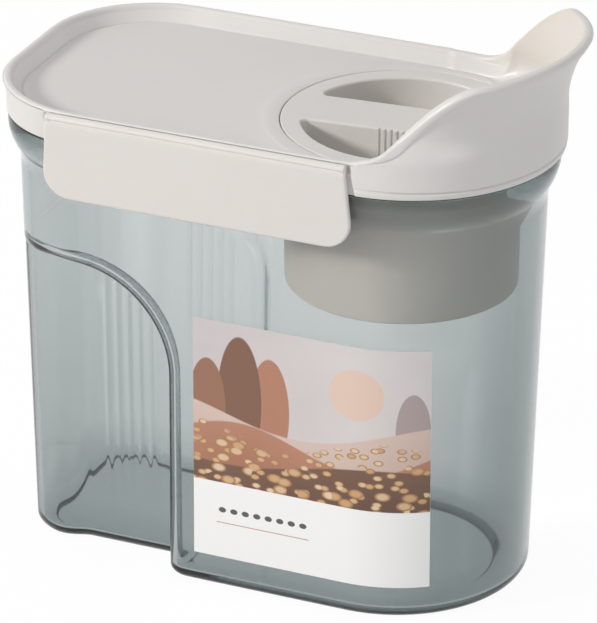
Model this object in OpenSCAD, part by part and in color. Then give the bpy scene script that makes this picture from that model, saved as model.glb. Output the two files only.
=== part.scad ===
// Cereal container: a transparent box with grip recesses, a lid with a fixed pouring spout and two
// locking wings, and a round stopper that lifts out and is a measuring cup. Millimetres, +Z up.
// The origin is the middle of the container's foot, on the face it stands on.

/* [Container] */
// Length of the container at its foot
foot_length = 165.2; // [162:0.2:168]
// Width of the container at its foot
foot_width = 88.6; // [87:0.2:90]
// Radius of the two square-end corners at the foot
corner_r = 30.4; // [26:0.2:32]
// How far the ends lean outwards from foot to shoulder
draft = 3.3; // [2.4:0.1:3.3]
// How far the long sides lean outwards
side_draft = 0.4; // [0.2:0.1:1]
// Thickness of the walls
wall = 2.0; // [1.6:0.1:2.4]
// Thickness of the floor
floor_t = 3.0; // [2:0.1:4]
// Level at which the collar starts to swell out
shoulder_level = 134; // [130:0.5:136]
// Level of the top face of the collar's lip
collar_level = 150.4; // [149:0.1:150.6]

/* [Grip recess] */
// Level of the recess's top edge
grip_top = 106.2; // [90:0.2:110]
// Where the recess ends, measured from the foot's middle
grip_edge = -24.6; // [-30:0.2:-20]
// Radius of the arch at the recess's upper corner
grip_arch_r = 34; // [20:0.5:40]
// Half-width left between the two recesses at the square end, at their top
grip_half = 37; // [36:0.1:38]
// How much deeper the ribbed part is
grip_scoop = 3; // [2:0.1:4]
// Number of ribs in each recess
rib_count = 5; // [1:1:7]
// Distance from rib to rib
rib_pitch = 3.85; // [3:0.05:4.2]

/* [Lid] */
// Half-width of the lid's skirt, and radius of its round end
lid_half = 50; // [49.8:0.05:50.2]
// Centre of the round end, from the foot's middle
end_x = 40.2; // [40:0.1:40.4]
// Where the square end of the skirt lies
lid_left = -90.2; // [-90.4:0.1:-90]
// Radius of the skirt's square-end corners
lid_corner_r = 36.6; // [34:0.1:38]
// Level of the skirt's lower edge
skirt_level = 151.2; // [151:0.1:152]
// Level of the rim's top
rim_level = 161.9; // [161.5:0.1:163]
// Depth of the sunken plate below the rim
plate_drop = 4.8; // [4:0.1:5]
// Thickness of the plate
plate_t = 2.0; // [1.6:0.1:2.2]

/* [Spout] */
// Height of the spout's lip above the rim
spout_h = 29.7; // [27:0.1:34]
// How far the lip flares out past the wall
spout_flare = 8; // [5:0.5:10]
// Angle from the spout's middle at which the lip comes down to the rim
spout_end_angle = 84; // [78:1:85]
// How far the lip's middle is turned from the long axis
spout_turn = -3.7; // [-4:0.1:4]
// Thickness of the spout's wall
spout_wall = 3.0; // [2.4:0.1:3.4]

/* [Wings] */
// Middle of the wings along the container
wing_x = -10.2; // [-11:0.1:-9]
// Half-length of a wing at its hinge
wing_half = 51.6; // [48:0.1:52]
// Thickness of a wing
wing_t = 1.9; // [1.6:0.1:2.2]
// Level of a wing's lower edge
wing_bottom = 132.8; // [130:0.1:138]
// Radius of a wing's lower corners
wing_corner_r = 9; // [5:0.5:12]

/* [Measuring cup] */
// Centre of the cup, from the foot's middle
cup_x = 39.4; // [39:0.1:39.8]
// Radius of the cup's flange
flange_r = 39.4; // [39.2:0.1:39.6]
// Radius of the cup's neck
neck_r = 38; // [37.6:0.1:38.1]
// Level of the cup's mouth, which points down
cup_mouth_level = 103; // [95:0.5:115]
// Width of the grip bar between the finger pockets
bar_w = 20.2; // [16:0.2:24]
// Radius of the finger pockets' outer wall
pocket_r = 33; // [28:0.5:33]
// Depth of the finger pockets
pocket_depth = 17; // [10:0.5:20]
// How far the cup is turned in the lid
cup_turn = 5; // [0:1:30]

/* [Label] */
// Where the label starts, from the foot's middle
label_left = -14.2; // [-16:0.1:-10]
// Where the label ends on the round end
label_right = 64.8; // [50:0.1:70]
// Level of the label's lower edge
label_bottom = 11.8; // [8:0.2:15]
// Level of the label's upper edge
label_top = 96.8; // [80:0.1:105]

/* [Hidden] */

$fn = 64;
past = 60;              // how far a cut runs past what it cuts

// container
end_r = foot_width / 2;
foot_r = 4;             // rounding of the foot's outer edge
well_r = 3;             // rounding where walls meet the floor inside
collar_out_y = 3.9;     // collar's lip past the wall, on the long sides
collar_out_x = 3.8;     // and at the ends
lip_t = 2.9;            // height of the lip's upright face
mouth_in = 1.1;         // inner face of the mouth, grown from the foot's outline
mouth_out = 2.7;        // outer face of the mouth
mouth_level = 156.4;    // top of the mouth
mouth_stretch = draft - side_draft - 0.5;
mouth_swell_h = 14;     // height over which the inside widens to the mouth
grip_wall_y = 44.2;     // where the rounding of the recess's edge starts, at the long walls
grip_round = 5;         // rounding of the recess's edge
grip_fillet = 4;        // rounding where the step meets the recess's wall
grip_end_r = 18;        // the narrowed square end's own corners
bulge_r = 9;            // rounding from the square end's side into the scoop
scoop_from = -57;       // the ribbed scoop starts here
rib_mid = -42.2;        // middle of the ribs
rib_r = 0.82;
grip_foot_r = 4.5;      // rounding of the foot's edge below a recess

// lid
plate_level = rim_level - plate_drop;
skirt_t = 1.6;
hem_h = 2.4;            // the skirt's lower edge leans in over this height, below the spout
rim_w = 5.6;            // width of the rim's flat top
bead_level = rim_level - 1.9;  // where the rim's bead steps off the skirt
bead_step = 0.7;
rim_in = 0.6;           // how far the rim's outer edge lies inside the skirt on the long sides
rim_out = 1.2;          // and outside it at the square end
plug_out = -5.2;        // plug wall's outer face, from the skirt's outline
plug_in = -6.8;
plug_level = 148.5;     // plug wall's lower edge
channel_level = 158;    // ceiling of the channel over the container's mouth
spout_out = 1.3;        // how far the spout's wall stands out from the skirt, at its middle
flare_from = 5;         // height above the rim at which the flare starts
flank_span = 43.4;      // angle over which the lip climbs from the rim
flank_pinch = 4;        // how far the climbing wall leans inwards, at the side of the lid
pinch_h = 9;            // height over which it does so
crown_h = 3.8;          // further climb towards the spout's middle
crown_angle = 69;       // and where it starts
plate_root = -9;        // where the rim's fillet meets the plate

// wings
hinge_y = 49.9;
hinge_z = 159.6;
barrel_r = 1.6;
groove_r = barrel_r + 0.06;
notch_y = 49.2;         // recessed face of the skirt behind a wing
notch_left = -63.3;
notch_right = 43.6;
wing_spread = 1;        // how much wider a wing is at its lower edge, at each end
ridge_level = 146.1;
ridge_r = 0.8;
ridge_y = hinge_y + barrel_r - wing_t + 0.1;

// cup and its collar in the lid
flange_t = 1.8;
cup_wall = 1.7;
neck_gap = 0.4;
collar_t = 2.2;
collar_bottom = 146;
seal_low = 149;
seal_high = 152;
mouth_r = 37.5;         // outer radius of the cup's mouth
seal_groove_r = neck_r - 0.95;
seal_out = 1.2;         // the seal's thickness, from groove to lip
gasket_h = 1.3;
groove_count = 6;       // fine grooves on the grip bar's side
groove_pitch = 2;

label_t = 0.25;         // its outer face, past the wall

function smooth(t) = let (c = min(1, max(0, t))) c * c * (3 - 2 * c);
function mix(a, b, t) = a + (b - a) * t;

// ---------------------------------------------------------------- container

// points of an arc about a centre
function arc(centre, r, from, to, steps) =
    [for (i = [0:steps]) let (a = mix(from, to, i / steps)) centre + r * [cos(a), sin(a)]];

// the container's outline seen from above; each level is [height, growth, stretch]
function body_ring(level) =
    let (
        corner_x = -foot_length / 2 + corner_r - level[2],
        corner_y = foot_width / 2 - corner_r,
        r = corner_r + level[1]
    )
    [
        for (p = [
            each arc([foot_length / 2 - end_r + level[2], 0], end_r + level[1], -90, 90, 24),
            each arc([corner_x, corner_y], r, 90, 180, 10),
            each arc([corner_x, -corner_y], r, 180, 270, 10)
        ])
            [p[0], p[1], level[0]]
    ];

// a solid through rings of points, each counter-clockwise as seen from the last
module loft(rings) {
    n = len(rings[0]);
    m = len(rings);
    polyhedron(
        points = [for (ring = rings) each ring],
        faces = [
            [for (j = [0:n - 1]) j],
            for (i = [0:m - 2], j = [0:n - 1])
                let (k = (j + 1) % n)
                each [
                    [i * n + j, (i + 1) * n + j, (i + 1) * n + k],
                    [i * n + j, (i + 1) * n + k, i * n + k]
                ],
            [for (j = [n - 1:-1:0]) (m - 1) * n + j]
        ]
    );
}

module body_stack(levels) {
    loft([for (level = levels) body_ring(level)]);
}

function lean(z) = draft * z / shoulder_level;
function side_lean(z) = side_draft * z / shoulder_level;

// a level of the leaning walls, moved outwards by grow
function wall_level(z, grow = 0) = [z, side_lean(z) + grow, lean(z) - side_lean(z)];

// the rounded lower edge of a form: a quarter circle of levels
function edge_levels(z, r, grow, stretch = 0) =
    [for (a = [0:22.5:90]) [z + r * (1 - cos(a)), grow - r * (1 - sin(a)), stretch]];

module outer_form() {
    swell_h = collar_level - lip_t - shoulder_level;
    shoulder = wall_level(shoulder_level);
    end_more = collar_out_x - collar_out_y;
    body_stack([
        each edge_levels(0, foot_r, 0),
        for (t = [0:0.2:1])
            shoulder + [swell_h * t, collar_out_y * (1 - pow(1 - t, 2.5)), end_more * t],
        shoulder + [swell_h + lip_t, collar_out_y, end_more],
        [collar_level, mouth_out, mouth_stretch],
        [mouth_level - 0.5, mouth_out, mouth_stretch],
        [mouth_level, mouth_out - 0.4, mouth_stretch]
    ]);
}

module inner_form() {
    body_stack([
        each edge_levels(floor_t, well_r, -wall),
        for (t = [0:0.25:1])
            [shoulder_level + mouth_swell_h * t, mix(side_draft - wall, mouth_in, smooth(t)), mouth_stretch],
        [mouth_level + 1, mouth_in, mouth_stretch]
    ]);
}

// a rounded block seen from above: corner circles [place, radius] at its left and right
function block_ring(left, right, half, level) =
    let (left_y = half - left[1], right_y = half - right[1])
    [
        for (p = [
            each arc([right[0], -right_y], right[1] + level[1], -90, 0, 5),
            each arc([right[0], right_y], right[1] + level[1], 0, 90, 5),
            each arc([left[0], left_y], left[1] + level[1], 90, 180, 8),
            each arc([left[0], -left_y], left[1] + level[1], 180, 270, 8)
        ])
            [p[0], p[1], level[0]]
    ];

// what the grip recesses leave: the narrowed square end, and the ribbed waist behind it
module grip_keep(grow) {
    left = -foot_length / 2 - lean(grip_top) + grip_end_r - 0.5;
    low = grow > 0 ? floor_t : 0;
    levels = [
        each edge_levels(low, grip_foot_r - grow, lean(low) - lean(grip_top) - grow),
        [past + grip_top, lean(past) - grow, 0]
    ];
    loft([
        for (level = levels)
            block_ring([left, grip_end_r], [scoop_from - bulge_r, bulge_r], grip_half, level)
    ]);
    loft([
        for (level = levels)
            block_ring([left + 6, grip_end_r], [past, bulge_r], grip_half - grip_scoop, level)
    ]);
}

// level of the recess's top edge at a place along the container
function arch_level(x) =
    let (past_corner = max(0, x - grip_edge + grip_arch_r))
    grip_top - grip_arch_r + sqrt(grip_arch_r * grip_arch_r - past_corner * past_corner);

// the recess seen from the side; each step is [distance from the middle, growth, share of the walls' lean]
function arch_ring(step) =
    let (r = grip_arch_r + step[1])
    [
        for (p = [
            [-foot_length, -past],
            [-foot_length, grip_top + step[1]],
            each arc([grip_edge - grip_arch_r, grip_top - grip_arch_r], r, 90, 0, 14),
            [grip_edge + step[1], -past]
        ])
            [p[0], step[0] + step[2] * (lean(p[1]) - lean(grip_top)), p[1]]
    ];

// from the recess's bottom out to the long wall, rounded at both ends
function grip_steps(grow) =
    let (edge_r = grip_round - grow, low_r = grip_fillet + grow, low_y = grip_half - grip_scoop + grip_fillet)
    [
        [low_y - low_r - grip_foot_r - draft, -grip_fillet, 1],
        for (a = [90:-22.5:0])
            [low_y - low_r * sin(a), low_r * cos(a) - grip_fillet, 1],
        for (a = [90:-22.5:0])
            [grip_wall_y - grip_round + edge_r * cos(a), grip_round - edge_r * sin(a), 0],
        [past, grip_round, 0]
    ];

module grip_cut(grow) {
    difference() {
        for (side = [0, 1])
            mirror([0, side, 0])
                loft([for (step = grip_steps(grow)) arch_ring(step)]);
        grip_keep(grow);
    }
}

module container_body() {
    waist = grip_half - grip_scoop;
    color([0.66, 0.72, 0.73, 0.45]) {
        difference() {
            outer_form();
            grip_cut(0);
            difference() {
                inner_form();
                grip_cut(wall);
            }
        }
        for (side = [-1, 1], i = [0:rib_count - 1])
            let (x = rib_mid + (i - (rib_count - 1) / 2) * rib_pitch)
                hull()
                    for (z = [grip_foot_r + 1, arch_level(x) - wall])
                        translate([x, side * (waist + lean(z) - lean(grip_top)), z])
                            sphere(r = rib_r, $fn = 16);
    }
}

// ---------------------------------------------------------------- lid

module lid_outline(grow) {
    r = lid_corner_r;
    straight = end_x - lid_left - r;
    translate([end_x, 0])
        circle(r = lid_half + grow);
    for (side = [-1, 1])
        translate([lid_left + r, side * (lid_half - r)])
            circle(r = r + grow);
    translate([lid_left + r, -lid_half - grow])
        square([straight, 2 * (lid_half + grow)]);
    translate([lid_left - grow, r - lid_half])
        square([r, 2 * (lid_half - r)]);
}

// height of the spout's lip over the rim, by the angle from the spout's middle
function lip_h(a) =
    let (away = abs(a - spout_turn))
    (spout_h - crown_h) * smooth((spout_end_angle - away) / flank_span)
        + crown_h * smooth((crown_angle - away) / crown_angle);

// how far the outer face stands out from the skirt's outline at level z
function face_u(a, z) =
    let (
        rise = min(1, max(0, (z - bead_level) / bead_step)),
        over = max(0, (z - rim_level - flare_from) / (spout_h - flare_from))
    )
    cos(a) < 0 || abs(a) > 90
        ? rise * mix(-rim_in, rim_out, max(0, -cos(a)))
        : spout_out * cos(a) + spout_flare * pow(over, 2)
            - (rise * rim_in + flank_pinch * smooth((z - rim_level) / pinch_h)) * (1 - cos(a));

// section of the skirt, rim, spout and plug wall at an angle round the lid, as [outwards, up]
function lid_section(a) =
    let (
        h = abs(a) <= 90 ? lip_h(a) : 0,
        top = rim_level + h,
        w = mix(rim_w, spout_wall, smooth(h / 10)),
        fillet = mix(3, 6, smooth(h / 15)),
        foot_u = face_u(a, plate_level + fillet) - w,
        u_top = face_u(a, top)
    )
    [
        [0, skirt_level],
        [face_u(a, skirt_level + hem_h), skirt_level + hem_h],
        for (t = [0:0.2:1]) let (z = mix(rim_level - 2, top - 1.2, t)) [face_u(a, z), z],
        [u_top - w * 0.12, top - 0.3],
        [u_top - w * 0.35, top],
        [u_top - w * 0.7, top],
        [u_top - w * 0.92, top - 0.4],
        for (t = [0:0.25:1]) let (z = mix(top - 1.3, plate_level + fillet, t)) [face_u(a, z) - w, z],
        for (b = [30, 60]) [foot_u - fillet * (1 - cos(b)), plate_level + fillet * (1 - sin(b))],
        [min(foot_u - fillet, plate_root), plate_level + 0.15],
        [min(foot_u - fillet, plate_root), plate_level - plate_t / 2],
        [plug_in, plate_level - plate_t / 2],
        [plug_in, plug_level],
        [plug_out, plug_level],
        [plug_out, channel_level],
        [-skirt_t, channel_level],
        [-skirt_t, skirt_level]
    ];

// the section carried round the lid: the spout's half circle, then the two corners
module lid_ring() {
    inset = lid_left + lid_corner_r;
    side = lid_half - lid_corner_r;
    stations = [
        for (a = [-90:3:90]) [end_x, 0, lid_half, a],
        for (a = [90:10:180]) [inset, side, lid_corner_r, a],
        for (a = [180:10:270]) [inset, -side, lid_corner_r, a]
    ];
    rows = [for (s = stations) lid_section(s[3])];
    n = len(rows[0]);
    m = len(stations);
    points = [
        for (i = [0:m - 1], p = rows[i])
            let (s = stations[i])
            [s[0] + (s[2] + p[0]) * cos(s[3]), s[1] + (s[2] + p[0]) * sin(s[3]), p[1]]
    ];
    faces = [
        for (i = [0:m - 1], j = [0:n - 1])
            let (i2 = (i + 1) % m, j2 = (j + 1) % n)
            each [[i * n + j, i * n + j2, i2 * n + j2], [i * n + j, i2 * n + j2, i2 * n + j]]
    ];
    polyhedron(points = points, faces = faces);
}

// room behind and over a wing on one long side
module wing_notch(side) {
    length = notch_right - notch_left;
    translate([notch_left, side > 0 ? notch_y : -notch_y - past, skirt_level - past])
        cube([length, past, hinge_z - skirt_level + past]);
    translate([notch_left, side * hinge_y, hinge_z])
        rotate([0, 90, 0])
            cylinder(r = groove_r, h = length);
}

module lid() {
    color([0.87, 0.86, 0.84])
        difference() {
            union() {
                lid_ring();
                translate([0, 0, plate_level - plate_t])
                    linear_extrude(height = plate_t)
                        lid_outline((plug_in + plug_out) / 2);
                translate([cup_x, 0, collar_bottom])
                    cylinder(r = neck_r + neck_gap + collar_t, h = plate_level - plate_t / 2 - collar_bottom);
            }
            translate([cup_x, 0, collar_bottom - 1])
                cylinder(r = neck_r + neck_gap, h = past);
            translate([cup_x, 0, plate_level - flange_t - 0.05])
                cylinder(r = flange_r + 0.3, h = flange_t + 1);
            for (side = [-1, 1])
                wing_notch(side);
        }
}

// ---------------------------------------------------------------- wings

// a wing's panel seen from the side, hinge at the top
module wing_panel() {
    r = wing_corner_r;
    low = wing_half + wing_spread;
    hull() {
        translate([-wing_half, -1])
            square([2 * wing_half, 1]);
        for (end = [-1, 1])
            translate([end * (low - r), wing_bottom - hinge_z + r])
                circle(r = r);
    }
}

module wing(side) {
    translate([wing_x, side * hinge_y, hinge_z]) {
        rotate([0, 90, 0])
            cylinder(r = barrel_r, h = 2 * wing_half, center = true);
        translate([0, side > 0 ? barrel_r : -(barrel_r - wing_t), 0])
            rotate([90, 0, 0])
                linear_extrude(height = wing_t)
                    wing_panel();
    }
    translate([wing_x, side * ridge_y, ridge_level])
        rotate([0, 90, 0])
            cylinder(r = ridge_r, h = 2 * wing_half - 12, center = true);
}

module front_wing() {
    color([0.88, 0.87, 0.85])
        wing(-1);
}

module rear_wing() {
    color([0.88, 0.87, 0.85])
        wing(1);
}

// ---------------------------------------------------------------- seals

module lid_gasket() {
    color([0.93, 0.93, 0.91])
        translate([0, 0, channel_level - gasket_h])
            linear_extrude(height = gasket_h)
                difference() {
                    lid_outline(-skirt_t - 0.1);
                    lid_outline(plug_out + 0.1);
                }
}

module cup_seal() {
    color([0.93, 0.93, 0.91])
        translate([cup_x, 0, seal_low])
            rotate_extrude()
                translate([seal_groove_r + 0.05, 0])
                    polygon([
                        [0, 0],
                        [seal_out - 0.3, 0],
                        [seal_out, 0.4],
                        [seal_out - 0.4, 1.5],
                        [seal_out, seal_high - seal_low - 0.4],
                        [seal_out - 0.3, seal_high - seal_low],
                        [0, seal_high - seal_low]
                    ]);
}

// ---------------------------------------------------------------- measuring cup

// the two half-moons beside the grip bar
module half_moons(r, gap) {
    difference() {
        circle(r = r);
        square([2 * r + 1, gap], center = true);
    }
}

module cup_shell() {
    rotate_extrude()
        polygon([
            [0, plate_level],
            [flange_r - 0.4, plate_level],
            [flange_r, plate_level - 0.4],
            [flange_r, plate_level - flange_t],
            [neck_r, plate_level - flange_t],
            [neck_r, seal_high + 0.05],
            [seal_groove_r, seal_high + 0.05],
            [seal_groove_r, seal_low - 0.05],
            [neck_r, seal_low - 0.05],
            [mouth_r, cup_mouth_level],
            [0, cup_mouth_level]
        ]);
}

module cup_cavity() {
    ceiling = plate_level - flange_t;
    rotate_extrude()
        polygon([
            [0, cup_mouth_level - 1],
            [mouth_r - cup_wall, cup_mouth_level - 1],
            [mouth_r - cup_wall, cup_mouth_level],
            [seal_groove_r - 1.1, seal_low - 4],
            [seal_groove_r - 1.1, ceiling],
            [0, ceiling]
        ]);
}

module measuring_cup() {
    floor_level = plate_level - pocket_depth;
    color([0.82, 0.81, 0.80])
        translate([cup_x, 0, 0])
            rotate([0, 0, cup_turn])
                difference() {
                    cup_shell();
                    difference() {
                        cup_cavity();
                        translate([0, 0, floor_level - cup_wall])
                            linear_extrude(height = pocket_depth + 1)
                                half_moons(pocket_r + cup_wall, bar_w - 2 * cup_wall);
                    }
                    translate([0, 0, floor_level])
                        linear_extrude(height = pocket_depth + 1)
                            half_moons(pocket_r, bar_w);
                    for (i = [0:groove_count - 1])
                        translate([(i - (groove_count - 1) / 2) * groove_pitch, -bar_w / 2, floor_level + 3])
                            cylinder(r = 0.5, h = pocket_depth, $fn = 16);
                }
}

// ---------------------------------------------------------------- label

module front_label() {
    low = label_bottom;
    high = label_top;
    color([0.95, 0.94, 0.93])
        intersection() {
            difference() {
                body_stack([wall_level(low, label_t), wall_level(high, label_t)]);
                body_stack([wall_level(low - 1, 0.02), wall_level(high + 1, 0.02)]);
            }
            translate([label_left, -past, low])
                cube([label_right - label_left, past, high - low]);
        }
}

container_body();
lid();
front_wing();
rear_wing();
lid_gasket();
measuring_cup();
cup_seal();
front_label();
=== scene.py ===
"""Cereal container with a pouring lid: its skins, finishes and studio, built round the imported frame.

Metres, +Z up. The origin is the middle of the container's foot, on the face it stands on.
"""

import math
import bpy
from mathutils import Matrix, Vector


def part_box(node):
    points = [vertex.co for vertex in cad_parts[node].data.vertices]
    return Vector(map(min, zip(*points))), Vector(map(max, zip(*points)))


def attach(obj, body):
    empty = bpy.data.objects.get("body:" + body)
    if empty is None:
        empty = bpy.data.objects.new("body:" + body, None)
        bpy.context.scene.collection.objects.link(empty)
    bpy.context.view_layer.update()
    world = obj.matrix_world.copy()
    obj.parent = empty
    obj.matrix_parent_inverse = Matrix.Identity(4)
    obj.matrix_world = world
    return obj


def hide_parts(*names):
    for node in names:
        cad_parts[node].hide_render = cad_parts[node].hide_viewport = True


bl_info = {
    "name": "Cereal Container",
    "version": (1, 0, 0),
    "blender": (4, 5, 0),
    "location": "View3D > Sidebar > Container",
    "description": "Builds a clear food container with grip recesses, a spouted lid and a measuring cup",
    "category": "Add Mesh",
}

from functools import partial

import bmesh
import bpy
import numpy as np
from bpy.props import FloatProperty, FloatVectorProperty, IntProperty, PointerProperty
from mathutils import Vector

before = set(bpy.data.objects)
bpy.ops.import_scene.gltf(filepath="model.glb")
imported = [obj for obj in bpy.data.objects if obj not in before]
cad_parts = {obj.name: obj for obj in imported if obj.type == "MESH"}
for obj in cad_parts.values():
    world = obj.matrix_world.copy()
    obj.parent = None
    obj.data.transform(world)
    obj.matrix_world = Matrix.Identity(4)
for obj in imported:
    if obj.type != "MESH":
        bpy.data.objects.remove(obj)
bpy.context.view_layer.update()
BODY_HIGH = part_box("container_body")[1]
LID_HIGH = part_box("lid")[1]
WING_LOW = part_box("front_wing")[0]
CUP_LOW, CUP_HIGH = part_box("measuring_cup")
LABEL_LOW, LABEL_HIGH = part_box("front_label")


def length(name, description, default):
    """A size in metres that a user may change."""
    return FloatProperty(name=name, description=description, default=default, unit="LENGTH", precision=5)


def angle(name, description, degrees):
    """An angle that a user may change, given in degrees."""
    return FloatProperty(name=name, description=description, default=math.radians(degrees), subtype="ANGLE")


def colour(name, description, default):
    """A colour that a user may change."""
    return FloatVectorProperty(
        name=name, description=description, default=default, size=3, min=0, max=1, subtype="COLOR"
    )


# ---------------------------------------------------------------- settings


class ContainerSettings(bpy.types.PropertyGroup):
    """Sizes of the clear container."""

    foot_length: length("Foot length", "Length of the container at its foot", 0.1652)
    foot_width: length("Foot width", "Width of the container at its foot", 0.0886)
    corner_r: length("Corner radius", "Radius of the two square-end corners", 0.0304)
    draft: length("End lean", "How far the ends lean out from foot to shoulder", 0.0033)
    side_draft: length("Side lean", "How far the long sides lean out", 0.0004)
    wall: length("Wall", "Thickness of the walls", 0.002)
    floor_t: length("Floor", "Thickness of the floor", 0.003)
    shoulder: length("Shoulder", "Level at which the collar starts to swell out", 0.1374)
    collar: length("Collar", "Level of the top face of the collar's lip", 0.1504)
    mouth: length("Mouth", "Level of the mouth's edge", BODY_HIGH.z)
    foot_ring: length("Foot ring", "Width of the ring that the container stands on", 0.0113)
    mark_x: length("Mark's place", "Centre of the round moulding mark along the floor", 0.0586)
    mark_r: length("Mark's radius", "Radius of the round moulding mark in the floor", 0.0075)


class GripSettings(bpy.types.PropertyGroup):
    """Sizes of the two grip recesses."""

    top: length("Top", "Level of the recess's top edge", 0.1062)
    edge: length("Edge", "Where the recess ends along the container", -0.0246)
    arch_r: length("Arch", "Radius of the recess's upper corner", 0.034)
    half: length("Half width", "Half-width left between the recesses at the square end", 0.037)
    scoop: length("Scoop", "How much deeper the ribbed part is", 0.003)
    scoop_from: length("Scoop start", "Where the ribbed part starts", -0.057)
    edge_r: length("Edge rounding", "Rounding of the recess's outer edge", 0.005)
    fillet_r: length("Fillet", "Rounding where the step meets the recess's wall", 0.004)
    rib_count: IntProperty(name="Ribs", description="Number of ribs in each recess", default=5, min=1, max=7)
    rib_pitch: length("Rib pitch", "Distance from rib to rib", 0.00385)
    rib_middle: length("Rib middle", "Middle of the row of ribs", -0.0422)
    rib_w: length("Rib width", "Width of a rib", 0.0030)
    rib_h: length("Rib height", "How far a rib stands out", 0.0004)


class LidSettings(bpy.types.PropertyGroup):
    """Sizes of the lid and its spout."""

    half: length("Half width", "Half-width of the skirt, and radius of its round end", 0.05)
    end_x: length("Round end", "Centre of the round end", 0.0402)
    left: length("Square end", "Where the square end of the skirt lies", -0.0902)
    corner_r: length("Corner radius", "Radius of the skirt's square-end corners", 0.0366)
    skirt: length("Skirt", "Level of the skirt's lower edge", 0.1512)
    rim: length("Rim", "Level of the rim's top", 0.1619)
    plate: length("Plate", "Level of the sunken plate", CUP_HIGH.z)
    plate_t: length("Plate thickness", "Thickness of the plate", 0.002)
    spout_h: length("Spout height", "Height of the lip above the rim", LID_HIGH.z - 0.1619)
    spout_flare: length("Spout flare", "How far the lip leans out past the wall", 0.008)
    spout_turn: angle("Spout turn", "Angle of the lip's middle", -3.7)
    spout_end: angle("Spout end", "Angle at which the lip reaches the rim", 84)


class WingSettings(bpy.types.PropertyGroup):
    """Sizes of the two locking wings."""

    left: length("Left end", "Where a wing's left end lies, at its hinge", -0.0624)
    right: length("Right end", "Where a wing's right end lies, at its hinge", 0.0399)
    left_spread: length("Left spread", "How much further the left end lies at the lower edge", 0.0008)
    right_spread: length("Right spread", "How much further the right end lies at the lower edge", 0.0022)
    bottom: length("Bottom", "Level of a wing's lower edge", WING_LOW.z)
    thickness: length("Thickness", "Thickness of a wing", 0.0019)
    corner_r: length("Corner radius", "Radius of a wing's lower corners", 0.009)
    edge_r: length("Edge rounding", "Rounding of a wing's edges", 0.0008)


class CupSettings(bpy.types.PropertyGroup):
    """Sizes of the measuring cup that stops the lid."""

    centre: length("Centre", "Centre of the cup along the container", (CUP_LOW.x + CUP_HIGH.x) / 2)
    flange_r: length("Flange", "Radius of the flange", (CUP_HIGH.x - CUP_LOW.x) / 2)
    flange_t: length("Flange thickness", "Thickness of the flange", 0.0018)
    neck_r: length("Neck", "Radius of the neck", 0.038)
    mouth_r: length("Mouth", "Radius of the cup's mouth", 0.0375)
    wall: length("Wall", "Thickness of the wall", 0.0017)
    bar: length("Grip bar", "Width of the bar between the finger pockets", 0.0202)
    pocket_r: length("Pocket radius", "Radius of the pockets' outer wall", 0.033)
    pocket_depth: length("Pocket depth", "Depth of the finger pockets", 0.017)
    groove_count: IntProperty(name="Grooves", description="Grooves on the bar's side", default=6, min=1, max=12)
    groove_pitch: length("Groove pitch", "Distance from groove to groove", 0.002)
    groove_r: length("Groove radius", "Radius of a groove", 0.0005)
    turn: angle("Turn", "How far the cup is turned in the lid", 5)


class FinishSettings(bpy.types.PropertyGroup):
    """Colours of the finishes."""

    lid: colour("Lid", "Warm light grey of the lid", (0.76, 0.735, 0.72))
    # The spout's warmer grey is painted warm bounce light inside the spout; the spout is the lid's own plastic.
    spout: colour("Spout", "Warmer grey inside the spout", (0.75, 0.70, 0.65))
    wing: colour("Wings", "Warm light grey of the wings", (0.765, 0.73, 0.70))
    cup_top: colour("Cup's top", "Light grey of the cup's grip and flange", (0.76, 0.735, 0.71))
    cup: colour("Cup", "Warm beige grey of the cup below its flange", (0.56, 0.50, 0.455))
    seal: colour("Seals", "Milky white of the seals", (0.82, 0.82, 0.80))
    smoke: colour("Smoke", "Colour that the clear plastic lets through", (0.41, 0.47, 0.475))
    # Deep smoke is the colour of painted shade on the clear plastic: the container's shadow seen through it and
    # the shade under the lid.
    smoke_painted_shade: colour("Deep smoke", "Surface tint where light goes far through it", (0.565, 0.612, 0.608))
    smoke_shadow: colour("Smoke's shadow", "Tint of light that has passed through a wall", (0.95, 0.96, 0.96))
    smoke_density: FloatProperty(
        name="Smoke density", description="How strongly the clear plastic is tinted, per metre", default=215.0
    )


# ---------------------------------------------------------------- geometry helpers


# Points of one mesh that lie closer than this are the same point, written twice.
SAME_POINT = 1e-7


def smooth(t):
    """Smooth step from 0 to 1."""
    t = np.clip(t, 0, 1)
    return t * t * (3 - 2 * t)


def mix(a, b, t):
    """From a to b as t goes from 0 to 1."""
    return a + (b - a) * t


def steps(start, end, pitch):
    """Even values from start up to, and without, end, about pitch apart."""
    count = max(1, round(abs(end - start) / pitch))
    return [start + (end - start) * i / count for i in range(count)]


def round_max(a, b, r):
    """The larger of two distances, with the corner where they meet rounded to radius r."""
    return np.minimum(np.maximum(a, b), -r) + np.hypot(np.maximum(a + r, 0), np.maximum(b + r, 0))


def round_min(a, b, r):
    """The smaller of two distances, with the corner where they meet filled to radius r."""
    return -round_max(-a, -b, r)


def edge_inset(height, r):
    """How far a face rounded to radius r lies inside its wall, at a height above its lower edge."""
    low = np.clip(r - height, 0, r)
    return r - np.sqrt(r * r - low * low)


def rounded_corner(x, y, r):
    """Signed distance from a quarter plane with its corner at the origin, rounded to radius r."""
    return np.hypot(np.maximum(x + r, 0), np.maximum(y + r, 0)) + np.minimum(np.maximum(x + r, y + r), 0) - r


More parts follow.
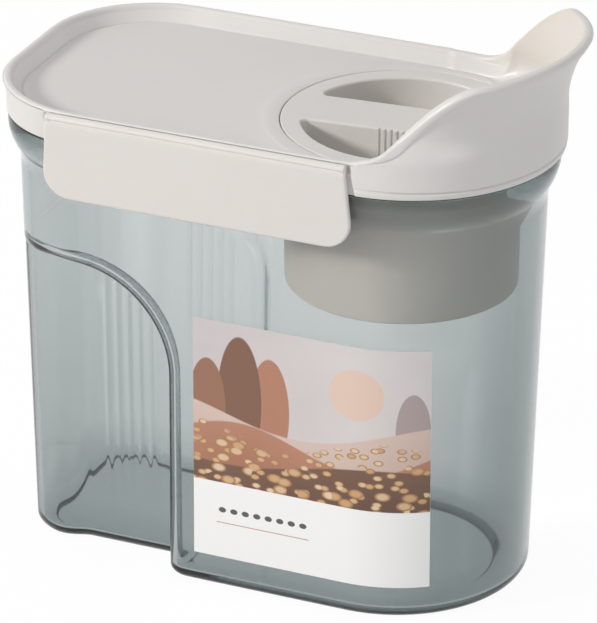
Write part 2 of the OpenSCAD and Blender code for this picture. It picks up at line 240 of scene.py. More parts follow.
def loft(name, rings, close_rows=False):
    """A closed mesh object through rings of points, with flat ends or joined back onto its first ring.

    Each ring turns anticlockwise about the way the rows go.
    """
    rows, count = rings.shape[:2]
    index = np.arange(rows * count).reshape(rows, count)
    low = index if close_rows else index[:-1]
    high = np.roll(index, -1, axis=0) if close_rows else index[1:]
    quads = np.stack([low, np.roll(low, -1, axis=1), np.roll(high, -1, axis=1), high], axis=-1)
    faces = quads.reshape(-1, 4).tolist()
    if not close_rows:
        faces += [index[0][::-1].tolist(), index[-1].tolist()]
    mesh = bpy.data.meshes.new(name)
    mesh.from_pydata(rings.reshape(-1, 3).tolist(), [], faces)
    mesh.update()
    mesh.shade_smooth()
    piece = bpy.data.objects.new(name, mesh)
    bpy.context.scene.collection.objects.link(piece)
    return piece


def settle(piece):
    """Turns a piece and its modifiers into a plain mesh."""
    graph = bpy.context.evaluated_depsgraph_get()
    mesh = bpy.data.meshes.new_from_object(piece.evaluated_get(graph), depsgraph=graph)
    mesh.name = piece.name
    piece.modifiers.clear()
    piece.data = mesh
    return piece


def remove(*pieces):
    """Deletes helpers that were only needed to cut or join."""
    for piece in pieces:
        bpy.data.objects.remove(piece)


def combine(piece, tool, operation):
    """Cuts, joins or intersects a piece with a tool, and deletes the tool."""
    cut = piece.modifiers.new(operation.lower(), "BOOLEAN")
    cut.operation = operation
    cut.solver = "MANIFOLD"
    cut.object = tool
    settle(piece)
    remove(tool)
    return piece


def crisp(piece, angle=35):
    """Smooth faces that keep their flats flat and their edges above an angle sharp."""
    piece.data.shade_smooth()
    piece.data.set_sharp_from_angle(angle=math.radians(angle))
    weights = piece.modifiers.new("weighted normals", "WEIGHTED_NORMAL")
    weights.keep_sharp = True
    return settle(piece)


def merged(piece, distance=1e-6):
    """Joins doubled points of a piece."""
    work = bmesh.new()
    work.from_mesh(piece.data)
    bmesh.ops.remove_doubles(work, verts=work.verts, dist=distance)
    work.to_mesh(piece.data)
    work.free()
    return piece


def hand_over(piece, body, slot, material, *nodes):
    """Gives a finished piece its material and body, and hides the CAD nodes it stands for. Its slot is not
    used.
    """
    piece.data.materials.clear()
    piece.data.materials.append(material)
    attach(piece, body)
    if nodes:
        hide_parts(*nodes)
    return piece


# ---------------------------------------------------------------- node helpers


def wire(tree, kind, inputs=None, **settings):
    """Adds a node, sets its settings, and links or sets its inputs by name or index."""
    node = tree.nodes.new(kind)
    for name, value in settings.items():
        setattr(node, name, value)
    for key, value in (inputs or {}).items():
        if isinstance(value, bpy.types.NodeSocket):
            tree.links.new(value, node.inputs[key])
        else:
            node.inputs[key].default_value = value
    return node


def math_node(tree, operation, a, b=0.0):
    """One step of arithmetic, as the socket of its result."""
    return wire(tree, "ShaderNodeMath", {0: a, 1: b}, operation=operation).outputs[0]


def arithmetic(tree):
    """Functions that add, subtract, multiply and divide sockets or numbers in a tree."""
    return [partial(math_node, tree, operation) for operation in ("ADD", "SUBTRACT", "MULTIPLY", "DIVIDE")]


def ramp(tree, value, start, end, **settings):
    """0 at a start value and 1 at an end value, and even between them."""
    inputs = {"Value": value, "From Min": start, "From Max": end}
    return wire(tree, "ShaderNodeMapRange", inputs, **settings).outputs[0]


def geometry_tree(name, sockets):
    """A geometry node tree with named inputs, its group input node and a function that ends it."""
    tree = bpy.data.node_groups.new(name, "GeometryNodeTree")
    tree.interface.new_socket("Geometry", in_out="INPUT", socket_type="NodeSocketGeometry")
    for socket, kind in sockets:
        tree.interface.new_socket(socket, in_out="INPUT", socket_type=f"NodeSocket{kind}")
    tree.interface.new_socket("Material", in_out="INPUT", socket_type="NodeSocketMaterial")
    tree.interface.new_socket("Geometry", in_out="OUTPUT", socket_type="NodeSocketGeometry")
    start = tree.nodes.new("NodeGroupInput")

    def finish(geometry):
        real = wire(tree, "GeometryNodeRealizeInstances", {"Geometry": geometry})
        coated = wire(tree, "GeometryNodeSetMaterial", {
            "Geometry": real.outputs[0], "Material": start.outputs["Material"],
        })
        wire(tree, "NodeGroupOutput", {"Geometry": coated.outputs[0]})
        return tree

    return tree, start.outputs, finish


def run_tree(piece, tree, values):
    """Runs a geometry node tree on a piece with named values, and leaves a plain mesh."""
    modifier = piece.modifiers.new(tree.name, "NODES")
    modifier.node_group = tree
    for item in tree.interface.items_tree:
        if item.item_type == "SOCKET" and item.in_out == "INPUT" and item.name in values:
            modifier[item.identifier] = values[item.name]
    return settle(piece)


# ---------------------------------------------------------------- finishes


def material_tree(name):
    """An empty material, its tree and its output node."""
    material = bpy.data.materials.new(name)
    material.use_nodes = True
    material.node_tree.nodes.clear()
    return material, material.node_tree, material.node_tree.nodes.new("ShaderNodeOutputMaterial")


def moulded_plastic(name, base, second=None, share=None, roughness=0.36, grain=0.3):
    """Satin moulded plastic: a faint drift of tone and gloss, and the fine grain of the tool's steel.

    Where share, a function that makes a socket in the tree, is 1, the colour is the second one.
    """
    material, tree, output = material_tree(name)
    place = wire(tree, "ShaderNodeTexCoord").outputs["Object"]
    drift = wire(tree, "ShaderNodeTexNoise", {"Vector": place, "Scale": 38.0, "Detail": 3.0})
    fine = wire(tree, "ShaderNodeTexNoise", {"Vector": place, "Scale": 2400.0, "Detail": 2.0, "Roughness": 0.6})
    tone = wire(tree, "ShaderNodeMix", data_type="RGBA", inputs={
        0: drift.outputs["Fac"], 6: (*[c * 0.98 for c in base], 1), 7: (*[min(1, c * 1.02) for c in base], 1),
    }).outputs[2]
    if second:
        tone = wire(tree, "ShaderNodeMix", data_type="RGBA", inputs={
            0: share(tree, place), 6: tone, 7: (*second, 1),
        }).outputs[2]
    gloss = wire(tree, "ShaderNodeMapRange", {
        "Value": drift.outputs["Fac"], "To Min": roughness - 0.05, "To Max": roughness + 0.05,
    })
    bump = wire(tree, "ShaderNodeBump", {"Height": fine.outputs["Fac"], "Strength": grain, "Distance": 0.00003})
    shader = wire(tree, "ShaderNodeBsdfPrincipled", {
        "Base Color": tone,
        "Roughness": gloss.outputs[0],
        "Normal": bump.outputs[0],
        "IOR": 1.49,
        "Subsurface Weight": 0.06,
        "Subsurface Scale": 0.0015,
    })
    tree.links.new(shader.outputs[0], output.inputs["Surface"])
    return material


def cup_outside(level, centre, radius):
    """A share for moulded_plastic: 1 below a level and outside a radius, and 0 elsewhere."""
    soft_level = 0.0004
    soft_radius = 0.001

    def share(tree, place):
        add, _, times, _ = arithmetic(tree)
        from_centre = wire(tree, "ShaderNodeMapping", {"Vector": place, "Location": (-centre, 0, 0)})
        x, y, z = wire(tree, "ShaderNodeSeparateXYZ", {0: from_centre.outputs[0]}).outputs
        reach = add(times(x, x), times(y, y))
        outside = ramp(tree, reach, radius ** 2, (radius + soft_radius) ** 2)
        return times(outside, ramp(tree, z, level + soft_level, level - soft_level))

    return share


def marked(attribute):
    """A share for moulded_plastic that is the value of a mesh attribute."""
    def share(tree, place):
        return wire(tree, "ShaderNodeAttribute", attribute_name=attribute).outputs["Fac"]

    return share


# Axis, start, end and strength of each stretch of painted shade that deepens the clear plastic's tint: the
# walls towards the foot, the foot's rounding, its lower edge, the collar's top, the round end and the square
# end. Towards the foot and the round end it stands for the container's shadow seen through the walls, at the
# collar's top for the shade under the lid, and at the square end the plastic is simply darker.
PAINTED_SHADE_STRETCHES = (
    (2, 0.11, 0.0, 0.38),
    (2, 0.016, 0.004, 0.35),
    (2, 0.0040, 0.0032, 0.65),
    (2, 0.1462, 0.1476, 0.75),
    (0, 0.045, 0.088, 0.85),
    (0, -0.068, -0.088, 0.5),
)


def smoked_plastic(name, finish, mark_x, mark_r):
    """Clear smoked plastic: tinted through its thickness, with painted shade deepening it towards foot, collar
    and ends.

    A paler round spot in the floor is where the mould was filled.
    """
    material, tree, output = material_tree(name)
    place = wire(tree, "ShaderNodeTexCoord").outputs["Object"]
    flow = wire(tree, "ShaderNodeMapping", {"Vector": place, "Scale": (22.0, 22.0, 5.0)})
    waves = wire(tree, "ShaderNodeTexNoise", {"Vector": flow.outputs[0], "Scale": 1.0, "Detail": 1.5})
    haze = wire(tree, "ShaderNodeMapRange", {"Value": waves.outputs["Fac"], "To Min": 0.02, "To Max": 0.06})
    bump = wire(tree, "ShaderNodeBump", {"Height": waves.outputs["Fac"], "Strength": 0.06, "Distance": 0.0008})
    along = wire(tree, "ShaderNodeSeparateXYZ", {0: place}).outputs
    add, less, times, _ = arithmetic(tree)
    # deeper sums the painted shade of the stretches, less the paler mould mark.
    deeper = 0.0
    for axis, start, end, strength in PAINTED_SHADE_STRETCHES:
        deeper = add(deeper, times(ramp(tree, along[axis], start, end), strength))
    mark = wire(tree, "ShaderNodeVectorMath", {0: place, 1: (mark_x, 0, 0)}, operation="DISTANCE")
    spot = ramp(tree, mark.outputs["Value"], mark_r + 0.0008, mark_r - 0.0012, interpolation_type="SMOOTHSTEP")
    spot_strength = 0.5
    deeper = less(deeper, times(spot, spot_strength))
    # Painted shade: the plastic's colour turns towards the deep smoke colour wherever the stretches of painted
    # shade add up.
    tone = wire(tree, "ShaderNodeMix", data_type="RGBA", inputs={
        0: deeper, 6: (1, 1, 1, 1), 7: (*finish.smoke_painted_shade, 1),
    })
    shader = wire(tree, "ShaderNodeBsdfPrincipled", {
        "Base Color": tone.outputs[2],
        "Roughness": haze.outputs[0],
        "Normal": bump.outputs[0],
        "IOR": 1.5,
        "Transmission Weight": 1.0,
    })
    through = wire(tree, "ShaderNodeBsdfTransparent", {"Color": (*finish.smoke_shadow, 1)})
    path = wire(tree, "ShaderNodeLightPath")
    either = wire(tree, "ShaderNodeMixShader", {
        0: path.outputs["Is Shadow Ray"], 1: shader.outputs[0], 2: through.outputs[0],
    })
    smoke = wire(tree, "ShaderNodeVolumeAbsorption", {
        "Color": (*finish.smoke, 1), "Density": finish.smoke_density,
    })
    tree.links.new(either.outputs[0], output.inputs["Surface"])
    tree.links.new(smoke.outputs[0], output.inputs["Volume"])
    return material


def soft_silicone(name, base):
    """Milky silicone with a soft, dusty sheen."""
    material, tree, output = material_tree(name)
    place = wire(tree, "ShaderNodeTexCoord").outputs["Object"]
    dust = wire(tree, "ShaderNodeTexNoise", {"Vector": place, "Scale": 900.0, "Detail": 3.0})
    gloss = wire(tree, "ShaderNodeMapRange", {"Value": dust.outputs["Fac"], "To Min": 0.35, "To Max": 0.6})
    bump = wire(tree, "ShaderNodeBump", {"Height": dust.outputs["Fac"], "Strength": 0.2, "Distance": 0.00005})
    shader = wire(tree, "ShaderNodeBsdfPrincipled", {
        "Base Color": (*base, 1),
        "Roughness": gloss.outputs[0],
        "Normal": bump.outputs[0],
        "Subsurface Weight": 0.4,
        "Subsurface Scale": 0.002,
    })
    tree.links.new(shader.outputs[0], output.inputs["Surface"])
    return material


# Middle, half-width and half-height, ink and edge of the sun, the far tree and the three near trees.
SUN_AND_TREES = (
    (0.70, 0.80, 0.115, 0.105, (0.80, 0.60, 0.50), 0.05),
    (0.93, 0.66, 0.070, 0.16, (0.45, 0.36, 0.36), 0.05),
    (0.33, 0.66, 0.085, 0.22, (0.47, 0.22, 0.14), 0.04),
    (0.20, 0.68, 0.095, 0.27, (0.22, 0.11, 0.07), 0.04),
    (0.06, 0.64, 0.080, 0.20, (0.33, 0.16, 0.10), 0.04),
)
# Height, swing, turns and start of each hill's crest, and its ink at the crest and further down.
HILLS = (
    (0.62, 0.055, 5.2, 2.4, (0.73, 0.57, 0.50), (0.60, 0.44, 0.38)),
    (0.53, 0.060, 6.1, 0.4, (0.52, 0.25, 0.16), (0.36, 0.15, 0.09)),
    (0.45, 0.045, 4.6, 4.1, (0.20, 0.105, 0.065), (0.09, 0.045, 0.03)),
)
# Scale, angle, upper limit and size of each layer of flakes.
FLAKES = ((17.0, 2.2, 0.55, 0.34), (11.0, 0.5, 0.47, 0.36))
PICTURE_FOOT = 0.322
SEEDS = 8
SEED_PITCH = 1 / 20
SEED_LINE = 0.205
RULE_LINE = 0.15


def printed_film(name):
    """Printed label film: a low sun, trees and hills with flakes, over white paper with a row of seeds."""
    material, tree, output = material_tree(name)
    add, less, times, share_of = arithmetic(tree)
    place = wire(tree, "ShaderNodeUVMap", uv_map="UVMap").outputs[0]
    u, v, _ = wire(tree, "ShaderNodeSeparateXYZ", {0: place}).outputs
    grain = wire(tree, "ShaderNodeTexNoise", {"Vector": place, "Scale": 5.0, "Detail": 5.0}).outputs["Fac"]

    def over(under, ink, share):
        """Ink printed over a colour."""
        ink = ink if isinstance(ink, bpy.types.NodeSocket) else (*ink, 1)
        under = under if isinstance(under, bpy.types.NodeSocket) else (*under, 1)
        return wire(tree, "ShaderNodeMix", data_type="RGBA", inputs={0: share, 6: under, 7: ink}).outputs[2]

    def edge(value, softness):
        """0 below zero and 1 above it, over a soft edge."""
        return ramp(tree, value, -softness, softness, interpolation_type="SMOOTHSTEP")

    def below_crest(height, swing, turns, start):
        """How far a point lies under a hill's wavy crest."""
        wave = math_node(tree, "SINE", add(times(u, turns), start))
        return less(add(times(wave, swing), height), v)

    def blob(x, y, width, height):
        """How far a point lies inside an upright ellipse, from 1 in its middle."""
        across = share_of(less(u, x), width)
        up = share_of(less(v, y), height)
        return less(1.0, add(times(across, across), times(up, up)))

    picture = over((0.60, 0.54, 0.55), (0.76, 0.72, 0.71), add(times(u, 0.6), times(grain, 0.5)))
    for x, y, width, height, ink, softness in SUN_AND_TREES:
        picture = over(picture, ink, edge(blob(x, y, width, height), softness))
    for height, swing, turns, start, ink, deep in HILLS:
        under = below_crest(height, swing, turns, start)
        shade = over(ink, deep, add(times(under, 3.0), times(grain, 0.3)))
        picture = over(picture, shade, edge(under, 0.004))
    for scale, turn, height, size in FLAKES:
        lay = wire(tree, "ShaderNodeMapping", {
            "Vector": place, "Rotation": (0, 0, turn), "Scale": (scale, scale * 1.7, 1),
        })
        flat = {"Vector": lay.outputs[0], "Scale": 1.0}
        cell = wire(tree, "ShaderNodeTexVoronoi", flat, voronoi_dimensions="2D")
        away = cell.outputs["Distance"]
        pick = wire(tree, "ShaderNodeSeparateColor", {0: cell.outputs["Color"]}).outputs
        strewn = edge(below_crest(height, 0.05, 7.0, turn), 0.02)
        there = times(strewn, math_node(tree, "GREATER_THAN", pick[0], 0.25))
        flake = times(edge(less(size, away), 0.03), there)
        ink = over((0.62, 0.36, 0.17), (0.80, 0.62, 0.42), pick[1])
        ink = over(ink, (0.40, 0.19, 0.08), edge(less(away, size * 0.72), 0.08))
        picture = over(picture, ink, flake)
    row_start = 2 * SEED_PITCH
    after_start = math_node(tree, "GREATER_THAN", u, row_start)
    before_end = math_node(tree, "LESS_THAN", u, row_start + SEEDS * SEED_PITCH)
    in_row = times(after_start, before_end)
    seed_u = less(math_node(tree, "FRACT", times(u, 1 / SEED_PITCH)), 0.5)
    seed_v = times(less(v, SEED_LINE), 28.0)
    seed = less(0.1, add(times(seed_u, seed_u), times(seed_v, seed_v)))
    paper = over((0.975, 0.97, 0.965), (0.10, 0.095, 0.09), times(edge(seed, 0.02), in_row))
    rule = less(0.0016, math_node(tree, "ABSOLUTE", less(v, RULE_LINE)))
    paper = over(paper, (0.42, 0.19, 0.115), times(edge(rule, 0.0008), in_row))
    ink = over(paper, picture, edge(less(v, PICTURE_FOOT), 0.0012))
    gloss = wire(tree, "ShaderNodeMapRange", {"Value": grain, "To Min": 0.32, "To Max": 0.46})
    pulp = wire(tree, "ShaderNodeTexNoise", {"Vector": place, "Scale": 260.0, "Detail": 2.0})
    bump = wire(tree, "ShaderNodeBump", {"Height": pulp.outputs["Fac"], "Strength": 0.15, "Distance": 0.00003})
    shader = wire(tree, "ShaderNodeBsdfPrincipled", {
        "Base Color": ink, "Roughness": gloss.outputs[0], "Normal": bump.outputs[0], "Coat Weight": 0.15,
    })
    tree.links.new(shader.outputs[0], output.inputs["Surface"])
    return material


# ---------------------------------------------------------------- container


# Depth of the step where a recess's upper edge runs round the square end.
STEP_IN = 0.00022
# Roundings of the foot outside and of the floor inside, on the plain walls and in the recesses.
FOOT_R = 0.004
GRIP_FOOT_R = 0.0045
FLOOR_R = 0.002
GRIP_FLOOR_R = 0.0016
# Rounding where a recess's wall turns into the square end.
WAIST_R = 0.009


def container_stations(c):
    """Places round the container's outline: circle centre, pull of the stretch, radius and angle.

    They lie closer together past the recess's edge, and closest where the ribs stand.
    """
    end_r = c.foot_width / 2
    end_x = c.foot_length / 2 - end_r
    corner_x = -c.foot_length / 2 + c.corner_r
    corner_y = end_r - c.corner_r
    close_from, closest_from, side_end = -0.0185, -0.033, -0.0515
    side = [
        *steps(end_x, close_from, 0.0035),
        *steps(close_from, closest_from, 0.0007),
        *steps(closest_from, side_end, 0.0003),
        side_end,
    ]
    half = [
        *[(end_x, 0, 1, end_r, math.radians(a)) for a in steps(0, 90, 2.5)],
        *[(x, 0, 0, end_r, math.pi / 2) for x in side],
        *[(corner_x, corner_y, -1, c.corner_r, math.radians(a)) for a in steps(90, 180, 2.5)],
        *[(corner_x, y, -1, c.corner_r, math.pi) for y in steps(corner_y, 0, 0.005)],
        (corner_x, 0, -1, c.corner_r, math.pi),
    ]
    mirrored = [(x, -y, pull, r, -a) for x, y, pull, r, a in half[-2:0:-1]]
    return np.array(half + mirrored).T


def outline_ring(stations, z, grow, stretch):
    """The outline's ring at a level."""
    x, y, pull, r, angle = stations
    return np.stack([
        x + pull * stretch + (r + grow) * np.cos(angle),
        y + (r + grow) * np.sin(angle),
        np.full_like(x, z),
    ], axis=-1)


def outline_distance(c, x, y, grow, stretch):
    """Signed distance in plan from the outline."""
    end_r = c.foot_width / 2 + grow
    end_x = c.foot_length / 2 - c.foot_width / 2 + stretch
    round_end = np.hypot(x - end_x, y) - end_r
    square_end = rounded_corner(-x - c.foot_length / 2 - grow - stretch, np.abs(y) - end_r, c.corner_r + grow)
    return np.where(x > end_x, round_end, square_end)


def lean(c, z):
    """How far the ends lean out at a level."""
    return c.draft * z / c.shoulder


def side_lean(c, z):
    """How far the long sides lean out at a level."""
    return c.side_draft * z / c.shoulder


def arch_distance(g, x, z):
    """Signed distance from the recess's opening, seen from the side."""
    return rounded_corner(x - g.edge, z - g.top, g.arch_r)


def waist_distance(c, g, x, y, z, inset):
    """Signed distance from what the recesses leave: the narrowed square end and the ribbed waist."""
    end_r = 0.018
    bulge_r = 0.009
    scoop_r = 0.003
    past_end = 0.0015
    left = -c.foot_length / 2 - lean(c, g.top) - past_end
    sunk = inset - lean(c, z) + lean(c, g.top)
    side = np.abs(y) + sunk
    block = np.maximum(
        rounded_corner(left - x, side - g.half, end_r),
        rounded_corner(x + sunk - g.scoop_from, side - g.half, bulge_r),
    )
    return round_min(block, side - g.half + g.scoop, scoop_r + inset)


def at_square_end(x, end, rest):
    """A size that is one value at the square end and another along the rest of the container."""
    end_until, rest_from = -0.078, -0.062
    return mix(end, rest, smooth((x - end_until) / (rest_from - end_until)))


def wall_distance(c, g, x, y, z, inset):
    """Signed distance from the recessed walls, moved inwards by inset, below the shoulder."""
    foot = c.floor_t if inset else 0.0
    foot_in = edge_inset(z - foot, FLOOR_R if inset else FOOT_R)
    grip_foot_in = edge_inset(z - foot, GRIP_FLOOR_R if inset else GRIP_FOOT_R)
    base = outline_distance(c, x, y, side_lean(c, z) - inset - foot_in, lean(c, z) - side_lean(c, z))
    opening = arch_distance(g, x, z) - inset - grip_foot_in
    waist = waist_distance(c, g, x, y, z, inset + grip_foot_in)
    lower = round_max(base + STEP_IN, waist, WAIST_R)
    end_fillet_r, end_edge_r = 0.0006, 0.0005
    kept = round_min(-opening, lower, at_square_end(x, end_fillet_r, g.fillet_r) + inset)
    return round_max(base, kept, at_square_end(x, end_edge_r, g.edge_r - inset))


def press_recesses(c, g, rings, angle, inset):
    """Moves each point of the plain walls straight in until it lies on the recessed ones."""
    x, y, z = np.moveaxis(rings, -1, 0)
    small = 1e-5
    near = arch_distance(g, x, z)
    toward_x = (arch_distance(g, x + small, z) - near) / small
    toward_z = (arch_distance(g, x, z + small) - near) / small
    tilt_reach = 0.017
    furthest = 0.026
    halvings = 36
    tilt = smooth(1 + near / tilt_reach)
    way = np.stack([
        -np.cos(angle) + tilt * toward_x,
        -np.sin(angle) + 0 * tilt,
        tilt * toward_z,
    ], axis=-1)
    way /= np.linalg.norm(way, axis=-1, keepdims=True)
    low = np.zeros_like(x)
    high = np.full_like(x, furthest)

    def outside(travel):
        return wall_distance(c, g, *np.moveaxis(rings + way * travel[..., None], -1, 0), inset) > 1e-7

    still = ~outside(low)
    for _ in range(halvings):
        middle = (low + high) / 2
        out = outside(middle)
        low = np.where(out, middle, low)
        high = np.where(out, high, middle)
    return np.where(still[..., None], rings, rings + way * high[..., None])


def wall_levels(c, g, foot, foot_r, inset, pitch):
    """Levels of a wall from its rounded foot to the shoulder, dense where the recess's arch runs."""
    levels = [
        (foot + foot_r * (1 - math.cos(a)), foot_r * (1 - math.sin(a)))
        for a in np.linspace(0, math.pi / 2, 9)
    ]
    beyond, crest = 0.006, 0.0024
    arch_low = g.top - g.arch_r - beyond
    arch_high = g.top + beyond
    heights = [
        *steps(foot + foot_r, arch_low, 0.0024)[1:],
        *steps(arch_low, g.top - crest, pitch),
        *steps(g.top - crest, g.top + crest, 0.0003),
        *steps(g.top + crest, arch_high, pitch),
        *steps(arch_high, c.shoulder, 0.004),
    ]
    levels += [(z, 0.0) for z in heights]
    return [(z, side_lean(c, z) - inset - rounding, lean(c, z) - side_lean(c, z)) for z, rounding in levels]


def collar_levels(c):
    """Levels from the shoulder over the collar's lip and the mouth, and down inside to the shoulder."""
    stretch = c.draft - c.side_draft
    mouth_stretch = stretch - 0.0005
    lip_t = 0.0029
    lip_out = 0.0039
    swell_power = 1.8
    end_more = -0.0001
    swell = c.collar - lip_t - c.shoulder
    edge = 0.0004
    mouth_out = 0.0027
    mouth_in = 0.0011
    mouth_foot_r = 0.0003
    mouth_edge = 0.001
    neck_h = 0.014
    outer = [
        (c.shoulder + swell * t, c.side_draft + lip_out * (1 - (1 - t) ** swell_power), stretch + end_more * t)
        for t in np.linspace(0, 1, 16)
    ]
    full = c.side_draft + lip_out
    outer += [(c.collar - edge, full, stretch + end_more)]
    outer += [
        (c.collar - edge * (1 - math.sin(a)), full - edge * (1 - math.cos(a)), stretch + end_more)
        for a in (0.5, 1.0, math.pi / 2)
    ]
    outer += [
        (c.collar, mouth_out + mouth_foot_r, mouth_stretch),
        (c.collar + mouth_foot_r, mouth_out, mouth_stretch),
        (c.mouth - mouth_edge, mouth_out, mouth_stretch),
    ]
    lip_r = (mouth_out - mouth_in) / 2
    outer += [
        (c.mouth - lip_r * (1 - math.sin(a)), mouth_in + lip_r * (1 + math.cos(a)), mouth_stretch)
        for a in np.linspace(0.2, math.pi - 0.2, 7)
    ]
    inner = [
        (
            c.shoulder + neck_h * t,
            mix(c.side_draft - c.wall, mouth_in, float(smooth(t))),
            mix(stretch, mouth_stretch, t),
        )
        for t in np.linspace(1, 0, 9)
    ]
    return outer + [(c.mouth - mouth_edge, mouth_in, mouth_stretch)] + inner


def container_mesh(c, g):
    """The container as one closed skin: foot, outer walls, mouth, inner walls and floor."""
    stations = container_stations(c)
    angle = stations[4]

    def rings(levels):
        return np.stack([outline_ring(stations, *level) for level in levels])

    outer_levels = wall_levels(c, g, 0.0, FOOT_R, 0.0, 0.001)
    inner_levels = wall_levels(c, g, c.floor_t, FLOOR_R, c.wall, 0.0012)
    outer = press_recesses(c, g, rings(outer_levels), angle, 0.0)
    inner = press_recesses(c, g, rings(inner_levels), angle, c.wall)[::-1]
    inward = np.stack([-np.cos(angle), -np.sin(angle), 0 * angle], axis=-1)
    foot = outer[0]
    narrow_w, narrow_until, full_from = 0.003, -0.03, 0.0
    widening = smooth((foot[:, 0] - narrow_until) / (full_from - narrow_until))
    ring_w = mix(narrow_w, c.foot_ring - FOOT_R, widening)[:, None]
    stand = foot + inward * ring_w
    raised = 0.0006
    well = foot + inward * (ring_w + raised)
    # From the well inside the ring that the container stands on, over the ring, out to the foot's rounding.
    under = [line + inward * further + [0, 0, up] for line, further, up in (
        (well, 0.0008, raised), (well, 0.0, raised), (well, -0.0003, raised * 0.8),
        (stand, 0.0001, raised * 0.2), (stand, 0.0, 0.0), (foot, 0.001, 0.0),
    )]
    above = [inner[-1] + inward * 0.0006]
    skin = [*under, *outer, *rings(collar_levels(c)), *inner[1:], *above]
    body = loft("container_body_skin", np.array(skin))
    mask_ribs(c, g, body, len(under) * len(angle), outer.shape[0] * len(angle))
    return body


def mask_ribs(c, g, body, start, count):
    """Marks where the ribs stand on the outer skin, from 0 to 1, for the tree that raises them."""
    co = np.zeros(len(body.data.vertices) * 3)
    body.data.vertices.foreach_get("co", co)
    x, _, z = co.reshape(-1, 3).T
    below_arch, foot_end, fade_w = 0.0035, GRIP_FOOT_R, 0.003
    faint, faint_until, full_from = 0.2, 0.02, 0.07
    share = smooth((-arch_distance(g, x, z) - below_arch) / 0.002)
    share *= mix(faint, 1, smooth((z - faint_until) / (full_from - faint_until)))
    share *= smooth((z - foot_end) / fade_w)
    share[:start] = 0
    share[start + count:] = 0
    mask = body.data.attributes.new("rib_mask", "FLOAT", "POINT")
    mask.data.foreach_set("value", share.astype(np.float32))


def rib_tree():
    """Raises soft ribs, a pitch apart, out of the skin wherever its rib mask says."""
    sockets = [("Count", "Int"), *[(size, "Float") for size in ("Pitch", "Middle", "Width", "Height")]]
    tree, given, finish = geometry_tree("grip ribs", sockets)
    add, less, times, share_of = arithmetic(tree)
    place = wire(tree, "GeometryNodeInputPosition").outputs[0]
    x, y, _ = wire(tree, "ShaderNodeSeparateXYZ", {0: place}).outputs
    mask = wire(tree, "GeometryNodeInputNamedAttribute", {"Name": "rib_mask"}, data_type="FLOAT").outputs[0]
    last = less(given["Count"], 1.0)
    along = add(share_of(less(x, given["Middle"]), given["Pitch"]), share_of(last, 2.0))
    nearest = math_node(tree, "MAXIMUM", math_node(tree, "ROUND", along), 0.0)
    nearest = math_node(tree, "MINIMUM", nearest, last)
    off = math_node(tree, "ABSOLUTE", times(less(along, nearest), given["Pitch"]))
    within = less(1.0, share_of(off, share_of(given["Width"], 2.0)))
    rise = ramp(tree, within, 0.0, 1.0, interpolation_type="SMOOTHSTEP")
    push = times(times(times(rise, given["Height"]), mask), math_node(tree, "SIGN", y))
    offset = wire(tree, "ShaderNodeCombineXYZ", {1: push})
    moved = wire(tree, "GeometryNodeSetPosition", {"Geometry": given["Geometry"], "Offset": offset.outputs[0]})
    return finish(moved.outputs[0])


# ---------------------------------------------------------------- lid


# The notch in the skirt behind each wing: its ends along the lid, the right one lower down and higher up, and
# the half-width left between the notches.
NOTCH_LEFT = -0.0633
NOTCH_RIGHT = 0.0431
NOTCH_RIGHT_HIGH = 0.0404
NOTCH_Y = 0.0492
# The wings' hinge line and the radius of its barrel.
HINGE_Y = 0.0499
HINGE_Z = 0.1596
BARREL_R = 0.0016
# How far the rim lies inside the skirt along the sides, and outside it at the square end; its bead's height.
RIM_IN = 0.0006
RIM_OUT = 0.0012
BEAD_H = 0.0011
# Height of the hem under the spout, and thickness of the skirt.
HEM_H = 0.0024
SKIRT_T = 0.0016
# Lower edge and thickness of the cup's guide collar.
COLLAR_LOW = 0.146
COLLAR_T = 0.0022
# The plug wall's faces, as distances from the skirt's outline, and its lower edge.
PLUG_IN, PLUG_OUT, PLUG_LOW = -0.0068, -0.0052, 0.1485
# The ledge's edge and level, and the level of the gasket channel's top.
LEDGE_OUT, LEDGE, CHANNEL = -0.00405, 0.1566, 0.158


def lid_stations(p):
    """Places round the lid: circle centre, radius and angle, with pairs at the ends of the wing notches."""
    inset = p.left + p.corner_r
    side = p.half - p.corner_r
    notch_right = math.acos((NOTCH_RIGHT - p.end_x) / p.half)
    notch_left = math.acos((NOTCH_LEFT - inset) / p.corner_r)
    gap = 2e-5 / p.half
    round_end = sorted([*[math.radians(a) for a in steps(0, 90, 1.5)], notch_right - gap, notch_right + gap])
    corner = sorted([*[math.radians(a) for a in steps(90, 180, 3)], notch_left - gap, notch_left + gap])
    half = [
        *[(p.end_x, 0, p.half, a) for a in round_end],
        *[(x, 0, p.half, math.pi / 2) for x in steps(p.end_x, inset, 0.002)],
        *[(inset, side, p.corner_r, a) for a in corner],
        *[(inset, y, p.corner_r, math.pi) for y in steps(side, 0, 0.004)],
        (inset, 0, p.corner_r, math.pi),
    ]
    mirrored = [(x, -y, r, -a) for x, y, r, a in half[-2:0:-1]]
    return np.array(half + mirrored).T


def lip_height(p, a):
    """Height of the spout's lip above the rim at an angle of the round end."""
    crown = 0.0038
    climb_turn, crown_turn = 43.4, 69
    away = np.abs(np.degrees(a - p.spout_turn))
    climb = (p.spout_h - crown) * smooth((math.degrees(p.spout_end) - away) / climb_turn)
    return climb + crown * smooth((crown_turn - away) / crown_turn)


